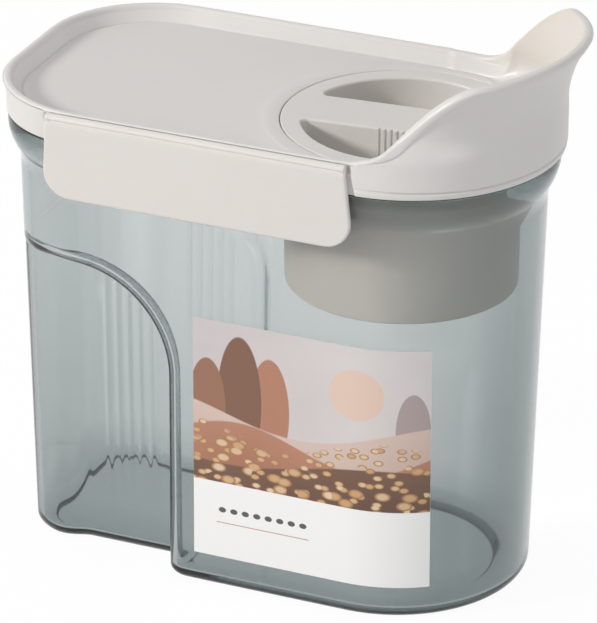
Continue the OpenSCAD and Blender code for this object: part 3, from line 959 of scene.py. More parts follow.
def face_out(p, a, z, on_spout):
    """How far the lid's outer face stands out from the skirt's outline."""
    bead_rise = 0.0005
    soft_rise = 0.0013
    flare_from = 0.005
    end_out = 0.0013
    pinch_in, pinch_h = 0.004, 0.009
    softer = soft_rise * np.maximum(0, -np.cos(a))
    rise = smooth((z - p.rim + BEAD_H + softer) / (bead_rise + softer))
    hem_top = p.skirt + HEM_H
    over = np.maximum(0, (z - p.rim - flare_from) / (p.spout_h - flare_from))
    pinch = RIM_IN * np.clip((z - hem_top) / (p.rim - hem_top), 0, 1) + pinch_in * smooth((z - p.rim) / pinch_h)
    spout = end_out * np.cos(a) + p.spout_flare * over ** 2 - pinch * (1 - np.cos(a))
    plain = rise * mix(-RIM_IN, RIM_OUT, np.maximum(0, -np.cos(a)))
    return np.where(on_spout, spout, plain)


def lid_section(p, a, on_spout):
    """The lid's section at every station, as rows of (outwards, up), and where it reaches the plate.

    It climbs the hem, the crease, the face and the bead, turns over the rim, and comes down inside: over a bank
    with a groove at the plate's edge, or under the spout over a wall with a fillet.
    """
    h = np.where(on_spout, lip_height(p, a), 0)
    top = p.rim + h
    tall = smooth(h / 0.01)
    w = mix(0.0027, 0.003, tall)
    outer_r = mix(0.001, 0.0014, tall)
    inner_r = mix(0.0013, 0.0014, tall)
    bead = 0.0005 * smooth(h / 0.004)
    none = 0 * a

    def face(z):
        return face_out(p, a, z, on_spout)

    hem_top = p.skirt + HEM_H
    hem = np.where(on_spout, np.maximum(np.cos(a), 0), 0)
    hem_u = face(hem_top) * 0.75
    hem_u_top = face(hem_top)
    crease_u = hem_u_top - 0.0006 * smooth(hem * 4)
    edge_r = 0.0004
    quarter = math.pi / 2
    rows = [
        (hem_u - edge_r * (1 - math.sin(b)), none + p.skirt + edge_r * (1 - math.cos(b)))
        for b in np.linspace(0, quarter, 5)
    ]
    rows += [
        (mix(hem_u, hem_u_top, t) - 0.00004 * hem, none + mix(p.skirt + edge_r, hem_top - 0.00025, t))
        for t in (0.5, 1)
    ]
    rows += [
        (crease_u, none + hem_top - 0.00018),
        (crease_u, none + hem_top + 0.00012),
        (hem_u_top, none + hem_top + 0.0003),
    ]
    line_low = p.rim - BEAD_H - 0.0003
    rows += [(face(z), z) for z in np.linspace(hem_top + 0.0006, line_low, 6)[:, None] + none]
    line_u = face(line_low) - np.where(on_spout, 0, 0.00008 * smooth(1 + np.cos(a) * 2))
    rows += [(line_u, none + line_low + 0.00015), (line_u, none + line_low + 0.0003)]
    bead_low = np.maximum(top - mix(outer_r, 0.0046, tall), line_low + 0.0007)
    rows += [(face(z), z) for z in (mix(line_low + 0.0006, bead_low, t) for t in np.linspace(0, 1, 16))]
    for out, up in ((0.0, 0.0001), (0.35, 0.00016), (0.8, 0.00028), (1.0, 0.0005)):
        z = bead_low + up * tall
        rows.append((face(z) + bead * out, z))
    edge = face(top - outer_r) + bead
    rows += [
        (edge - outer_r * (1 - math.cos(b)), top - outer_r * (1 - math.sin(b)))
        for b in np.linspace(0, quarter, 7)
    ]
    inner_edge = face(top - inner_r) - w
    rows += [
        (inner_edge + inner_r * (1 + math.cos(b)), top - inner_r * (1 - math.sin(b)))
        for b in np.linspace(quarter, math.pi, 7)
    ]
    fillet = 0.006
    low = p.plate + fillet
    foot = face(low) - w
    levels = [mix(top - inner_r, low, t) for t in np.linspace(0.08, 1, 14)]
    wall = [(face(z) - w, z) for z in levels]
    wall += [
        (foot - fillet * (1 - math.cos(b)), low - fillet * math.sin(b))
        for b in np.linspace(0.2, quarter, 8)
    ]
    bank_top, bank_w, bank_r = p.rim - 0.0014, 0.0030, 0.0003
    straight = 0.95
    groove_w, groove_h = 0.0005, 0.00035
    bank = [(inner_edge - 0.00003, none + bank_top + 0.0001)]
    bank += [
        (inner_edge - bank_w * t, none + mix(bank_top, p.plate, t)) for t in np.linspace(0.02, straight, 13)
    ]
    bank_end = inner_edge - bank_w * straight
    drop = (bank_top - p.plate) * (1 - straight)
    bank += [
        (bank_end - bank_r * t, none + p.plate + drop * (1 - t) ** 2 - groove_h * t)
        for t in np.linspace(0.2, 1, 5)
    ]
    groove_u = bank_end - bank_r
    bank += [(groove_u - groove_w * t, none + p.plate - groove_h * (1 - t) ** 2) for t in (0.3, 0.6, 1)]
    share = smooth((h - 0.001) / 0.009)
    rows += [(mix(bu, wu, share), mix(bz, wz, share)) for (bu, bz), (wu, wz) in zip(bank, wall)]
    return rows, mix(groove_u - groove_w, foot - fillet, share)


def lid_rings(p, cup):
    """Every ring of the lid's closed skin."""
    x, y, r, a = lid_stations(p)
    on_spout = (np.abs(a) <= math.pi / 2 + 1e-9) & (x == p.end_x)
    rows, plate_u = lid_section(p, a, on_spout)

    def ring(u, z):
        return np.stack([x + (r + u) * np.cos(a), y + (r + u) * np.sin(a), z + 0 * a], axis=-1)

    rings = [leant(notched(ring(u, z)), p.skirt) for u, z in rows]
    edge = ring(plate_u - 0.0004, p.plate)
    reach = np.hypot(edge[:, 0] - cup.centre, edge[:, 1])
    turn = np.arctan2(edge[:, 1], edge[:, 0] - cup.centre)

    def circle(radius, z):
        return np.stack([cup.centre + radius * np.cos(turn), radius * np.sin(turn), z + 0 * turn], axis=-1)

    disc_r = np.minimum(0.045, reach - 0.0006)
    hole_r = cup.flange_r + 0.0003
    hole_edge = 0.0003
    seat = p.plate - cup.flange_t - 0.00005
    neck = cup.neck_r + 0.0004
    collar_r = neck + COLLAR_T
    under = p.plate - p.plate_t
    rings += [edge]
    rings += [mix(edge, circle(disc_r, p.plate), t) for t in (0.5, 0.97)]
    rings += [circle(disc_r - 0.0002, p.plate + 0.00016), circle(disc_r - 0.0006, p.plate + 0.00024)]
    rings += [
        circle(mix(disc_r, hole_r, 0.6), p.plate + 0.00014),
        circle(mix(disc_r, hole_r, 0.85), p.plate + 0.00003),
    ]
    rings += [
        circle(hole_r + hole_edge * (1 - math.sin(b)), p.plate - hole_edge * (1 - math.cos(b)))
        for b in (0, 0.8, math.pi / 2)
    ]
    rings += [circle(radius, z) for radius, z in (
        (hole_r, seat), (neck + 0.0002, seat), (neck, seat - 0.0002),
        (neck, COLLAR_LOW + 0.0003), (neck + 0.0003, COLLAR_LOW),
        (collar_r - 0.0003, COLLAR_LOW), (collar_r, COLLAR_LOW + 0.0003),
        (collar_r, under - 0.0005), (collar_r + 0.0005, under),
    )]
    rings += [ring(u, z) for u, z in (
        (PLUG_IN - 0.0005, under), (PLUG_IN, under - 0.0005), (PLUG_IN, PLUG_LOW + 0.0004),
        (PLUG_IN + 0.0004, PLUG_LOW), (PLUG_OUT - 0.0004, PLUG_LOW), (PLUG_OUT, PLUG_LOW + 0.0004),
        (PLUG_OUT, LEDGE - 0.0002), (PLUG_OUT + 0.0002, LEDGE), (LEDGE_OUT, LEDGE + 0.0002),
        (LEDGE_OUT, CHANNEL - 0.0003), (LEDGE_OUT + 0.0003, CHANNEL),
        (-SKIRT_T - 0.0003, CHANNEL), (-SKIRT_T, CHANNEL - 0.0003),
        (-SKIRT_T, p.skirt + 0.0002), (-SKIRT_T + 0.0002, p.skirt),
    )]
    return np.array(rings)


def gasket_mesh(p):
    """The lid's gasket: a soft ring in the channel over the container's mouth."""
    x, y, r, a = lid_stations(p)
    middle, half, low, high = -0.00285, 0.00105, 0.1567, 0.15795
    bend = 0.0004
    corners = ((half, low, -90), (half, high, 0), (-half, high, 90), (-half, low, 180))
    rings = []
    for out, z, start in corners:
        cu = middle + out - math.copysign(bend, out)
        cz = z + (bend if z == low else -bend)
        for t in np.radians(np.linspace(start, start + 90, 5)):
            u = cu + bend * math.cos(t)
            rings.append(np.stack([
                x + (r + u) * np.cos(a), y + (r + u) * np.sin(a), 0 * a + cz + bend * math.sin(t),
            ], axis=-1))
    return loft("lid_gasket_ring", np.array(rings), close_rows=True)


def mark_spout_warm_light(p, lid):
    """Marks the inside of the spout on the lid's mesh, from 0 to 1, where the spout's warmer grey is painted on
    as warm bounce light.
    """
    co = np.zeros(len(lid.data.vertices) * 3)
    lid.data.vertices.foreach_get("co", co)
    normal = np.zeros_like(co)
    lid.data.vertex_normals.foreach_get("vector", normal)
    x, y, z = co.reshape(-1, 3).T
    nx, ny, _ = normal.reshape(-1, 3).T
    reach = np.hypot(x - p.end_x, y) + 1e-9
    facing_in = -(nx * (x - p.end_x) + ny * y) / reach
    share = smooth(facing_in * 2) * smooth((z - p.rim) / 0.006) * (x > p.end_x)
    mask = lid.data.attributes.new("spout_warm_light", "FLOAT", "POINT")
    mask.data.foreach_set("value", share.astype(np.float32))


def notched(ring):
    """A ring of the skirt, held back behind a wing and round its hinge's barrel."""
    x, y, z = ring.T
    play = 0.00006
    groove_r = BARREL_R + play
    round_barrel = HINGE_Y - np.sqrt(np.maximum(groove_r ** 2 - (z - HINGE_Z) ** 2, 0))
    beside = np.abs(z - HINGE_Z) < groove_r
    face = np.where(beside, np.minimum(NOTCH_Y, round_barrel), NOTCH_Y)
    face = np.where(z > HINGE_Z + groove_r, 1.0, face)
    held = (x > NOTCH_LEFT) & (x < NOTCH_RIGHT)
    side = np.where(held, np.minimum(np.abs(y), face), np.abs(y))
    return np.stack([x, np.sign(y) * side, z], axis=-1)


def leant(ring, skirt):
    """A ring of the skirt with its part round the notch's right end drawn back, more the higher it lies."""
    none_above, fade_h = 0.165, 0.003
    reach, side_from = 0.012, 0.04
    x, y, z = ring.T
    share = np.clip((z - skirt) / (HINGE_Z + BARREL_R - skirt), 0, 1) * smooth((none_above - z) / fade_h)
    near = smooth(1 - np.abs(x - NOTCH_RIGHT) / reach) * (np.abs(y) > side_from)
    return np.stack([x - (NOTCH_RIGHT - NOTCH_RIGHT_HIGH) * share * near, y, z], axis=-1)


# ---------------------------------------------------------------- wings


def wing_mesh(w, side):
    """A wing: a panel with rounded edges whose top turns over the hinge's barrel, and its locking ridge.

    A fold line and a low step run along its outer face under the barrel.
    """
    top = HINGE_Z + BARREL_R
    top_r = 0.0007
    least_r = 0.00002
    low_left = w.left - w.left_spread
    low_right = w.right + w.right_spread
    down = [0.03, 0.05, 0.07, 0.09, 0.11, 0.14, 0.18, 0.3, 0.5, 0.75]

    def outline(inset):
        """The wing's edge seen from the side, moved inwards, as (along, up)."""
        r = max(w.corner_r - inset, least_r)
        low = w.bottom + max(w.corner_r, inset)
        tip = max(top_r - inset, least_r)
        high = top - max(top_r, inset)
        right_low, right_high = low_right - max(w.corner_r, inset), w.right - max(top_r, inset)
        left_low, left_high = low_left + max(w.corner_r, inset), w.left + max(top_r, inset)

        def arc(cx, cz, bend, start, end, count):
            return [(cx + bend * math.cos(t), cz + bend * math.sin(t))
                    for t in np.radians(np.linspace(start, end, count + 1))]

        right = arc(right_low, low, r, -90, 0, 12)
        top_right = arc(right_high, high, tip, 0, 90, 4)
        top_left = arc(left_high, high, tip, 90, 180, 4)
        left = arc(left_low, low, r, 180, 270, 12)

        def between(a, b, shares):
            return [(mix(a[0], b[0], t), mix(a[1], b[1], t)) for t in shares]

        even = np.linspace(0, 1, 12)[1:-1]
        return np.array([
            *right,
            *between(top_right[0], right[-1], down)[::-1],
            *top_right,
            *between(top_right[-1], top_left[0], even),
            *top_left,
            *between(top_left[-1], left[0], down),
            *left,
            *between(left[-1], right[0], even),
        ])

    line = HINGE_Z - 0.00025
    line_depth, line_w, line_inset = 0.00035, 0.0003, 0.0009
    step_depth, step_h = 0.00028, 0.0018

    def skin(inset, sign):
        """Points of the outer (sign 1) or inner (sign -1) face at an inset from the edge."""
        along, up = outline(inset).T
        near = max(w.edge_r - inset, 0)
        rounding = w.edge_r - math.sqrt(w.edge_r ** 2 - near ** 2)
        if sign > 0:
            barrel = np.sqrt(np.maximum(BARREL_R ** 2 - np.maximum(up - HINGE_Z, 0) ** 2, 0))
            fold = line_depth * smooth(1 - np.abs(up - line) / line_w)
            step = step_depth * smooth(1 - (line - up) / step_h) * (up < line)
            depth = np.minimum(barrel, BARREL_R - rounding) - np.where(inset > line_inset, fold, 0) - step
        else:
            barrel = np.sqrt(np.maximum(BARREL_R ** 2 - (up - HINGE_Z) ** 2, 0))
            barrel = np.maximum(barrel, w.thickness - BARREL_R)
            panel = w.thickness - BARREL_R - rounding
            beside = np.minimum(barrel, np.maximum(barrel - rounding, panel))
            depth = np.where(up > HINGE_Z - BARREL_R, beside, panel)
            depth = np.where(up > HINGE_Z, np.minimum(barrel, BARREL_R - rounding), depth)
        return np.stack([along, side * (HINGE_Y + sign * depth), up], axis=-1)

    insets = [w.edge_r * (1 - math.cos(b)) for b in np.linspace(0, math.pi / 2, 7)]
    insets += [
        0.0011, 0.0014, 0.00155, 0.0017, 0.00185, 0.002, 0.00215, 0.0024, 0.0027, 0.003, 0.0033, 0.0036, 0.004,
    ]
    outside = [skin(inset, 1) for inset in insets]
    inside = [skin(inset, -1) for inset in insets]
    rings = np.array(inside[::-1] + outside)
    if side > 0:
        rings = rings[:, ::-1]
    name = f"{'rear' if side > 0 else 'front'}_wing_panel"
    panel = merged(loft(name, rings))
    ridge_y, ridge_z, ridge_r, ridge_inset = 0.0497, 0.1461, 0.0008, 0.006
    ends = [(t, ridge_r * math.sqrt(1 - t * t)) for t in np.sin(np.radians(np.linspace(80, 5, 6)))]
    sections = [(low_left + ridge_inset + ridge_r * (1 - t), r) for t, r in ends]
    sections += [(low_right - ridge_inset - ridge_r * (1 - t), r) for t, r in ends[::-1]]
    turn = np.linspace(0, 2 * math.pi, 17)[:-1]
    ridge = loft("locking ridge", np.array([
        np.stack([0 * turn + x, side * ridge_y + r * np.cos(turn), ridge_z + r * np.sin(turn)], axis=-1)
        for x, r in sections
    ]))
    return combine(panel, ridge, "UNION")


# ---------------------------------------------------------------- measuring cup


def turned(name, profile, centre, count=128):
    """A solid of revolution about an upright axis, from its profile's (radius, level) points."""
    angle = np.linspace(0, 2 * math.pi, count, endpoint=False)
    rings = [
        np.stack([centre + r * np.cos(angle), r * np.sin(angle), z + 0 * angle], axis=-1) for r, z in profile
    ]
    return loft(name, np.array(rings))


def rounded(points, steps_each=4):
    """A profile with its corners rounded: each point is (radius, level, rounding)."""
    out = []
    count = len(points)
    for i, (r, z, bend) in enumerate(points):
        here = Vector((r, z))
        if not bend or i in (0, count - 1):
            out.append(tuple(here))
            continue
        before = (Vector(points[i - 1][:2]) - here).normalized()
        after = (Vector(points[i + 1][:2]) - here).normalized()
        for t in np.linspace(0, 1, steps_each + 1):
            start = here + before * bend
            end = here + after * bend
            out.append(tuple((1 - t) ** 2 * start + 2 * t * (1 - t) * here + t * t * end))
    return out


def half_moon(cup, grow, count=40):
    """Outline of a finger pocket beside the grip bar, moved outwards by grow, before the cup is turned."""
    corner = 0.0022
    corner_y = cup.bar / 2 + corner
    corner_x = math.sqrt((cup.pocket_r - corner) ** 2 - corner_y ** 2)
    edge = math.atan2(corner_y, corner_x)

    def arc(x, y, r, angles):
        return [Vector((x + r * math.cos(t), y + r * math.sin(t))) for t in angles]

    wall = arc(0, 0, cup.pocket_r + grow, np.linspace(edge, math.pi - edge, count))
    left = arc(-corner_x, corner_y, corner + grow, np.linspace(math.pi - edge, 1.5 * math.pi, 10)[1:])
    right = arc(corner_x, corner_y, corner + grow, np.linspace(1.5 * math.pi, 2 * math.pi + edge, 10)[:-1])
    chord = [left[-1].lerp(right[0], t) for t in np.linspace(0, 1, 24)[1:-1]]
    return np.array([tuple(v) for v in [*wall, *left, *chord, *right]])


def moon_block(name, cup, levels, side):
    """A block with a half-moon plan; each level is (level, growth)."""
    turn = cup.turn + (math.pi if side < 0 else 0)
    spin = np.array([[math.cos(turn), -math.sin(turn)], [math.sin(turn), math.cos(turn)]])
    rings = []
    for z, grow in levels:
        plan = half_moon(cup, grow) @ spin.T + [cup.centre, 0]
        rings.append(np.column_stack([plan, np.full(len(plan), z)]))
    return loft(name, np.array(rings))


def cup_mesh(cup, plate):
    """The cup: a turned shell with a groove for its seal, and two finger pockets beside the grip bar."""
    axis_r = 0.0005
    seal_low, seal_high = 0.14895, 0.15205
    groove = cup.neck_r - 0.00095
    inside = groove - 0.0011
    mouth_z = CUP_LOW.z
    flange = plate - cup.flange_t
    outer = rounded([
        (axis_r, mouth_z, 0), (cup.mouth_r, mouth_z, 0.0005),
        (cup.neck_r, seal_low, 0.0001), (groove, seal_low, 0.0001),
        (groove, seal_high, 0.0001), (cup.neck_r, seal_high, 0.0001),
        (cup.neck_r, flange, 0.0002), (cup.flange_r, flange, 0.0003),
        (cup.flange_r, plate, 0.0005), (axis_r, plate, 0),
    ])
    mouth_in = cup.mouth_r - cup.wall
    cavity = rounded([
        (axis_r, mouth_z - 0.001, 0), (mouth_in + 0.0003, mouth_z - 0.001, 0),
        (mouth_in, mouth_z + 0.0006, 0.0003), (inside, seal_low - 0.00395, 0.0005),
        (inside, flange, 0.0015), (axis_r, flange, 0),
    ])
    shell = turned("measuring_cup_shell", outer, cup.centre)
    combine(shell, turned("cup cavity", cavity, cup.centre), "DIFFERENCE")
    floor = plate - cup.pocket_depth
    bottom = 0.002
    lip = 0.0008
    bends = np.linspace(0, math.pi / 2, 6)
    wall = [
        (floor - cup.wall, cup.wall - bottom),
        (floor - cup.wall + bottom, cup.wall),
        (plate - 0.0006, cup.wall),
    ]
    hollow = [(floor + bottom * (1 - math.cos(b)), -bottom * (1 - math.sin(b))) for b in bends]
    hollow += [(plate - lip * (1 - math.sin(b)), lip * (1 - math.cos(b))) for b in bends]
    hollow += [(plate + 0.002, lip)]
    for side in (1, -1):
        combine(shell, moon_block("pocket wall", cup, wall, side), "UNION")
        combine(shell, moon_block("pocket hollow", cup, hollow, side), "DIFFERENCE")
    return shell


def groove_tree():
    """Cuts a row of round grooves into a mesh."""
    sockets = [
        ("Count", "Int"), ("Pitch", "Vector"), ("Start", "Vector"), ("Radius", "Float"), ("Depth", "Float"),
    ]
    tree, given, finish = geometry_tree("grip grooves", sockets)
    row = wire(tree, "GeometryNodeMeshLine", {
        "Count": given["Count"], "Start Location": given["Start"], "Offset": given["Pitch"],
    }, mode="OFFSET")
    bit = wire(tree, "GeometryNodeMeshCylinder", {
        "Vertices": 16, "Radius": given["Radius"], "Depth": given["Depth"],
    })
    copies = wire(tree, "GeometryNodeInstanceOnPoints", {"Points": row.outputs[0], "Instance": bit.outputs[0]})
    real = wire(tree, "GeometryNodeRealizeInstances", {"Geometry": copies.outputs[0]})
    cut = wire(tree, "GeometryNodeMeshBoolean", operation="DIFFERENCE", solver="MANIFOLD")
    tree.links.new(given["Geometry"], cut.inputs["Mesh 1"])
    tree.links.new(real.outputs[0], cut.inputs["Mesh 2"])
    return finish(cut.outputs[0])


# ---------------------------------------------------------------- label


def label_mesh(c):
    """The label: a thin film that follows the long wall and turns onto the round end."""
    end_r = c.foot_width / 2
    left, right = LABEL_LOW.x, LABEL_HIGH.x
    columns, rows = 72, 24
    share = np.linspace(0, 1, columns + 1)
    near, far = 0.00006, 0.0002

    def sheet(out):
        lines = []
        for z in np.linspace(LABEL_LOW.z, LABEL_HIGH.z, rows + 1):
            r = end_r + side_lean(c, z) + out
            centre = c.foot_length / 2 - end_r + lean(c, z) - side_lean(c, z)
            straight = centre - left
            along = share * (straight + math.asin((right - centre) / r) * r)
            turned_by = np.maximum(along - straight, 0) / r
            px = left + np.minimum(along, straight) + r * np.sin(turned_by)
            lines.append(np.stack([px, -r * np.cos(turned_by), np.full_like(px, z)], axis=-1))
        return np.array(lines)

    outer, inner = sheet(far), sheet(near)
    edge = [(i, 0) for i in range(rows)] + [(rows, j) for j in range(columns)]
    edge += [(i, columns) for i in range(rows, 0, -1)] + [(0, j) for j in range(columns, 0, -1)]
    work = bmesh.new()
    front = [[work.verts.new(p) for p in row] for row in outer]
    back = [[work.verts.new(p) for p in row] for row in inner]
    uv = work.loops.layers.uv.new("UVMap")
    for i in range(rows):
        for j in range(columns):
            face = work.faces.new((front[i][j], front[i][j + 1], front[i + 1][j + 1], front[i + 1][j]))
            for loop, (a, b) in zip(face.loops, ((i, j), (i, j + 1), (i + 1, j + 1), (i + 1, j))):
                loop[uv].uv = (b / columns, a / rows)
            work.faces.new((back[i][j], back[i + 1][j], back[i + 1][j + 1], back[i][j + 1]))
    for (i, j), (k, m) in zip(edge, edge[1:] + edge[:1]):
        work.faces.new((front[i][j], front[k][m], back[k][m], back[i][j]))
    mesh = bpy.data.meshes.new("front_label_film")
    work.to_mesh(mesh)
    work.free()
    mesh.shade_smooth()
    mesh.set_sharp_from_angle(angle=math.radians(40))
    film = bpy.data.objects.new("front_label_film", mesh)
    bpy.context.scene.collection.objects.link(film)
    return film


# ---------------------------------------------------------------- operators


class CONTAINER_OT_body(bpy.types.Operator):
    """Builds the clear container with its grip recesses and ribs"""

    bl_idname = "container.build_body"
    bl_label = "Container Body"

    def execute(self, context):
        scene = context.scene
        c, g, finish = scene.container, scene.container_grip, scene.container_finish
        material = smoked_plastic("smoked clear plastic", finish, c.mark_x, c.mark_r)
        body = container_mesh(c, g)
        run_tree(body, rib_tree(), {
            "Count": g.rib_count, "Pitch": g.rib_pitch, "Middle": g.rib_middle,
            "Width": g.rib_w, "Height": g.rib_h, "Material": material,
        })
        body.data.attributes.remove(body.data.attributes["rib_mask"])
        hand_over(body, "container", "clear_body", material, "container_body")
        return {"FINISHED"}


class CONTAINER_OT_lid(bpy.types.Operator):
    """Builds the lid with its rim, sunken plate and pouring spout"""

    bl_idname = "container.build_lid"
    bl_label = "Lid"

    def execute(self, context):
        scene = context.scene
        p, finish = scene.container_lid, scene.container_finish
        # Inside the spout the lid's colour turns to a warmer grey: painted warm bounce light.
        material = moulded_plastic("lid plastic", finish.lid, finish.spout, marked("spout_warm_light"))
        lid = merged(loft("lid_shell", lid_rings(p, scene.container_cup), close_rows=True), SAME_POINT)
        mark_spout_warm_light(p, lid)
        hand_over(lid, "lid", "lid", material, "lid")
        return {"FINISHED"}


class CONTAINER_OT_wings(bpy.types.Operator):
    """Builds the two locking wings"""

    bl_idname = "container.build_wings"
    bl_label = "Locking Wings"

    def execute(self, context):
        scene = context.scene
        material = moulded_plastic("wing plastic", scene.container_finish.wing)
        for side, body in ((-1, "front_wing"), (1, "rear_wing")):
            wing = wing_mesh(scene.container_wing, side)
            hand_over(wing, body, "wing", material, body)
        return {"FINISHED"}


class CONTAINER_OT_cup(bpy.types.Operator):
    """Builds the measuring cup with its finger pockets and grip bar"""

    bl_idname = "container.build_cup"
    bl_label = "Measuring Cup"

    def execute(self, context):
        scene = context.scene
        cup = scene.container_cup
        plate = scene.container_lid.plate
        finish = scene.container_finish
        under_flange = plate - cup.flange_t - 0.0002
        below = cup_outside(under_flange, cup.centre, cup.pocket_r + 0.0015)
        material = moulded_plastic("cup plastic", finish.cup_top, finish.cup, below)
        shell = cup_mesh(cup, plate)
        across = Vector((math.cos(cup.turn), math.sin(cup.turn), 0))
        outward = Vector((math.sin(cup.turn), -math.cos(cup.turn), 0))
        past_top = 0.001
        reach = cup.pocket_depth - 0.003
        start = Vector((cup.centre, 0, plate + past_top - reach / 2)) + outward * cup.bar / 2
        start -= across * cup.groove_pitch * (cup.groove_count - 1) / 2
        run_tree(shell, groove_tree(), {
            "Count": cup.groove_count, "Pitch": across * cup.groove_pitch, "Start": start,
            "Radius": cup.groove_r, "Depth": reach + 2 * past_top, "Material": material,
        })
        crisp(merged(shell, SAME_POINT))
        hand_over(shell, "measuring_cup", "cup", material, "measuring_cup")
        return {"FINISHED"}


class CONTAINER_OT_seals(bpy.types.Operator):
    """Builds the lid's gasket and finishes the cup's seal ring"""

    bl_idname = "container.build_seals"
    bl_label = "Seals"

    def execute(self, context):
        scene = context.scene
        material = soft_silicone("seal silicone", scene.container_finish.seal)
        hand_over(gasket_mesh(scene.container_lid), "lid", "seal", material, "lid_gasket")
        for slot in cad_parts["cup_seal"].material_slots:
            slot.material = material
        return {"FINISHED"}


class CONTAINER_OT_label(bpy.types.Operator):
    """Builds the printed label on the container's front"""

    bl_idname = "container.build_label"
    bl_label = "Label"

    def execute(self, context):
        film = label_mesh(context.scene.container)
        hand_over(film, "container", "label", printed_film("printed film"), "front_label")
        return {"FINISHED"}


class CONTAINER_OT_stage(bpy.types.Operator):
    """Sets the pale floor, the studio light and the camera"""

    bl_idname = "container.build_stage"
    bl_label = "Stage"

    def execute(self, context):
        scene = context.scene
        scene.view_settings.view_transform = "Standard"
        white_world(scene)
        pale_floor()
        for lamp in LAMPS:
            area_light(*lamp)
        long_lens_camera()
        return {"FINISHED"}


# Name, place, size, power and tint of each soft box, and the point that they look at.
LAMPS = (
    ("key light", (-1.55, -1.46, 1.04), 0.36, 32.0, (1.0, 0.975, 0.94)),
    ("fill light", (1.75, -1.25, 0.5), 1.0, 10.0, (0.97, 0.985, 1.0)),
    ("top light", (-0.35, 0.35, 2.2), 1.4, 7.5, (1.0, 0.99, 0.98)),
)
LAMPS_LOOK_AT = (0, 0, 0.09)
# The camera's place, its angles in degrees, its lens and sensor in millimetres, and the shift of its frame.
CAMERA_PLACE = (0.55703, -1.3125, 0.76726)
CAMERA_ANGLES = (64.2986, -0.2566, 23.1387)
CAMERA_LENS = 280.13
CAMERA_SENSOR = 36.0
CAMERA_SHIFT = (0.01766, 0.00253)


def seen_directly(tree):
    """1 for rays that show the background itself: to the camera, in gloss and through clear plastic."""
    path = wire(tree, "ShaderNodeLightPath").outputs
    shown = math_node(tree, "MAXIMUM", path["Is Camera Ray"], path["Is Transmission Ray"])
    return math_node(tree, "MAXIMUM", shown, path["Is Glossy Ray"])


def white_world(scene):
    """Even pale light, and plain white wherever the background itself is seen."""
    world = bpy.data.worlds.new("studio")
    scene.world = world
    world.use_nodes = True
    tree = world.node_tree
    tree.nodes.clear()
    seen = seen_directly(tree)
    light = wire(tree, "ShaderNodeBackground", {"Color": (0.98, 0.99, 1.0, 1), "Strength": 0.36})
    white = wire(tree, "ShaderNodeBackground", {"Color": (1, 1, 1, 1), "Strength": 1.0})
    both = wire(tree, "ShaderNodeMixShader", {0: seen, 1: light.outputs[0], 2: white.outputs[0]})
    wire(tree, "ShaderNodeOutputWorld", {"Surface": both.outputs[0]})


def pale_floor():
    """A wide pale floor that shows white to the camera and keeps a soft shadow."""
    mesh = bpy.data.meshes.new("floor")
    size = 6.0
    corners = [(-size, -size, 0), (size, -size, 0), (size, size, 0), (-size, size, 0)]
    mesh.from_pydata(corners, [], [(0, 1, 2, 3)])
    floor = bpy.data.objects.new("floor", mesh)
    bpy.context.scene.collection.objects.link(floor)
    floor.location.z = -0.0002
    material, tree, output = material_tree("pale floor")
    shown = math_node(tree, "MULTIPLY", seen_directly(tree), 0.9)
    matt = wire(tree, "ShaderNodeBsdfDiffuse", {"Color": (0.66, 0.66, 0.66, 1)})
    white = wire(tree, "ShaderNodeEmission", {"Color": (1, 1, 1, 1), "Strength": 1.05})
    both = wire(tree, "ShaderNodeMixShader", {0: shown, 1: matt.outputs[0], 2: white.outputs[0]})
    tree.links.new(both.outputs[0], output.inputs["Surface"])
    mesh.materials.append(material)


def area_light(name, place, size, power, tint):
    """A square soft box that looks at the container."""
    data = bpy.data.lights.new(name, "AREA")
    data.size = size
    data.energy = power
    data.color = tint
    light = bpy.data.objects.new(name, data)
    light.location = place
    light.rotation_euler = (Vector(LAMPS_LOOK_AT) - Vector(place)).to_track_quat("-Z", "Y").to_euler()
    bpy.context.scene.collection.objects.link(light)


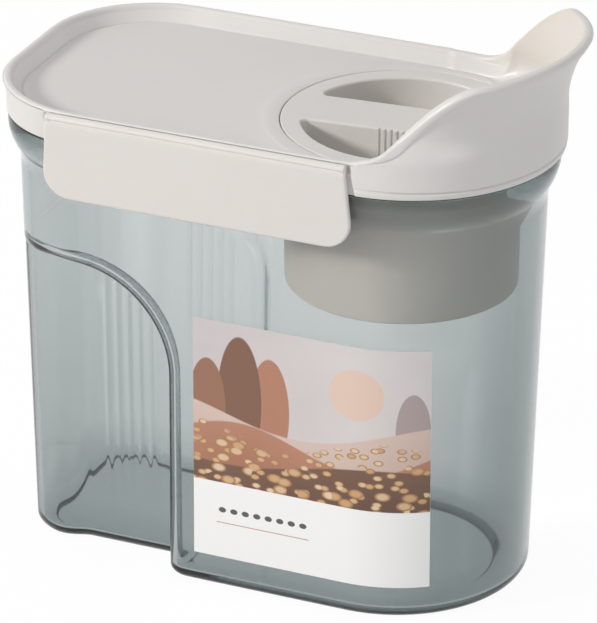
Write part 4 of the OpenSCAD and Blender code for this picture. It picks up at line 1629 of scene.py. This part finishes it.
def long_lens_camera():
    """The camera, with a long lens and a slight shift."""
    data = bpy.data.cameras.new("camera")
    data.lens = CAMERA_LENS
    data.sensor_width = CAMERA_SENSOR
    data.shift_x, data.shift_y = CAMERA_SHIFT
    data.clip_end = 50.0
    camera = bpy.data.objects.new("camera", data)
    camera.location = CAMERA_PLACE
    camera.rotation_euler = [math.radians(degrees) for degrees in CAMERA_ANGLES]
    bpy.context.scene.collection.objects.link(camera)
    bpy.context.scene.camera = camera


class CONTAINER_PT_panel(bpy.types.Panel):
    """Lists the container's pieces and their sizes"""

    bl_label = "Cereal Container"
    bl_idname = "CONTAINER_PT_panel"
    bl_space_type = "VIEW_3D"
    bl_region_type = "UI"
    bl_category = "Container"

    def draw(self, context):
        for operator in OPERATORS:
            self.layout.operator(operator.bl_idname)
        for name in SETTINGS:
            group = getattr(context.scene, name)
            box = self.layout.box()
            for key in group.__annotations__:
                box.prop(group, key)


SETTINGS = {
    "container": ContainerSettings,
    "container_grip": GripSettings,
    "container_lid": LidSettings,
    "container_wing": WingSettings,
    "container_cup": CupSettings,
    "container_finish": FinishSettings,
}
OPERATORS = (
    CONTAINER_OT_body,
    CONTAINER_OT_lid,
    CONTAINER_OT_wings,
    CONTAINER_OT_cup,
    CONTAINER_OT_seals,
    CONTAINER_OT_label,
    CONTAINER_OT_stage,
)


def register():
    """Registers the settings, operators and panel."""
    for group in SETTINGS.values():
        bpy.utils.register_class(group)
    for operator in (*OPERATORS, CONTAINER_PT_panel):
        bpy.utils.register_class(operator)
    for name, group in SETTINGS.items():
        setattr(bpy.types.Scene, name, PointerProperty(type=group))


def unregister():
    """Takes the settings, operators and panel away again."""
    for name in SETTINGS:
        delattr(bpy.types.Scene, name)
    for operator in (*OPERATORS, CONTAINER_PT_panel):
        bpy.utils.unregister_class(operator)
    for group in SETTINGS.values():
        bpy.utils.unregister_class(group)


def main():
    """Builds every piece in order."""
    register()
    bpy.ops.container.build_stage()
    bpy.ops.container.build_body()
    bpy.ops.container.build_lid()
    bpy.ops.container.build_wings()
    bpy.ops.container.build_cup()
    bpy.ops.container.build_seals()
    bpy.ops.container.build_label()


if __name__ == "__main__":
    main()
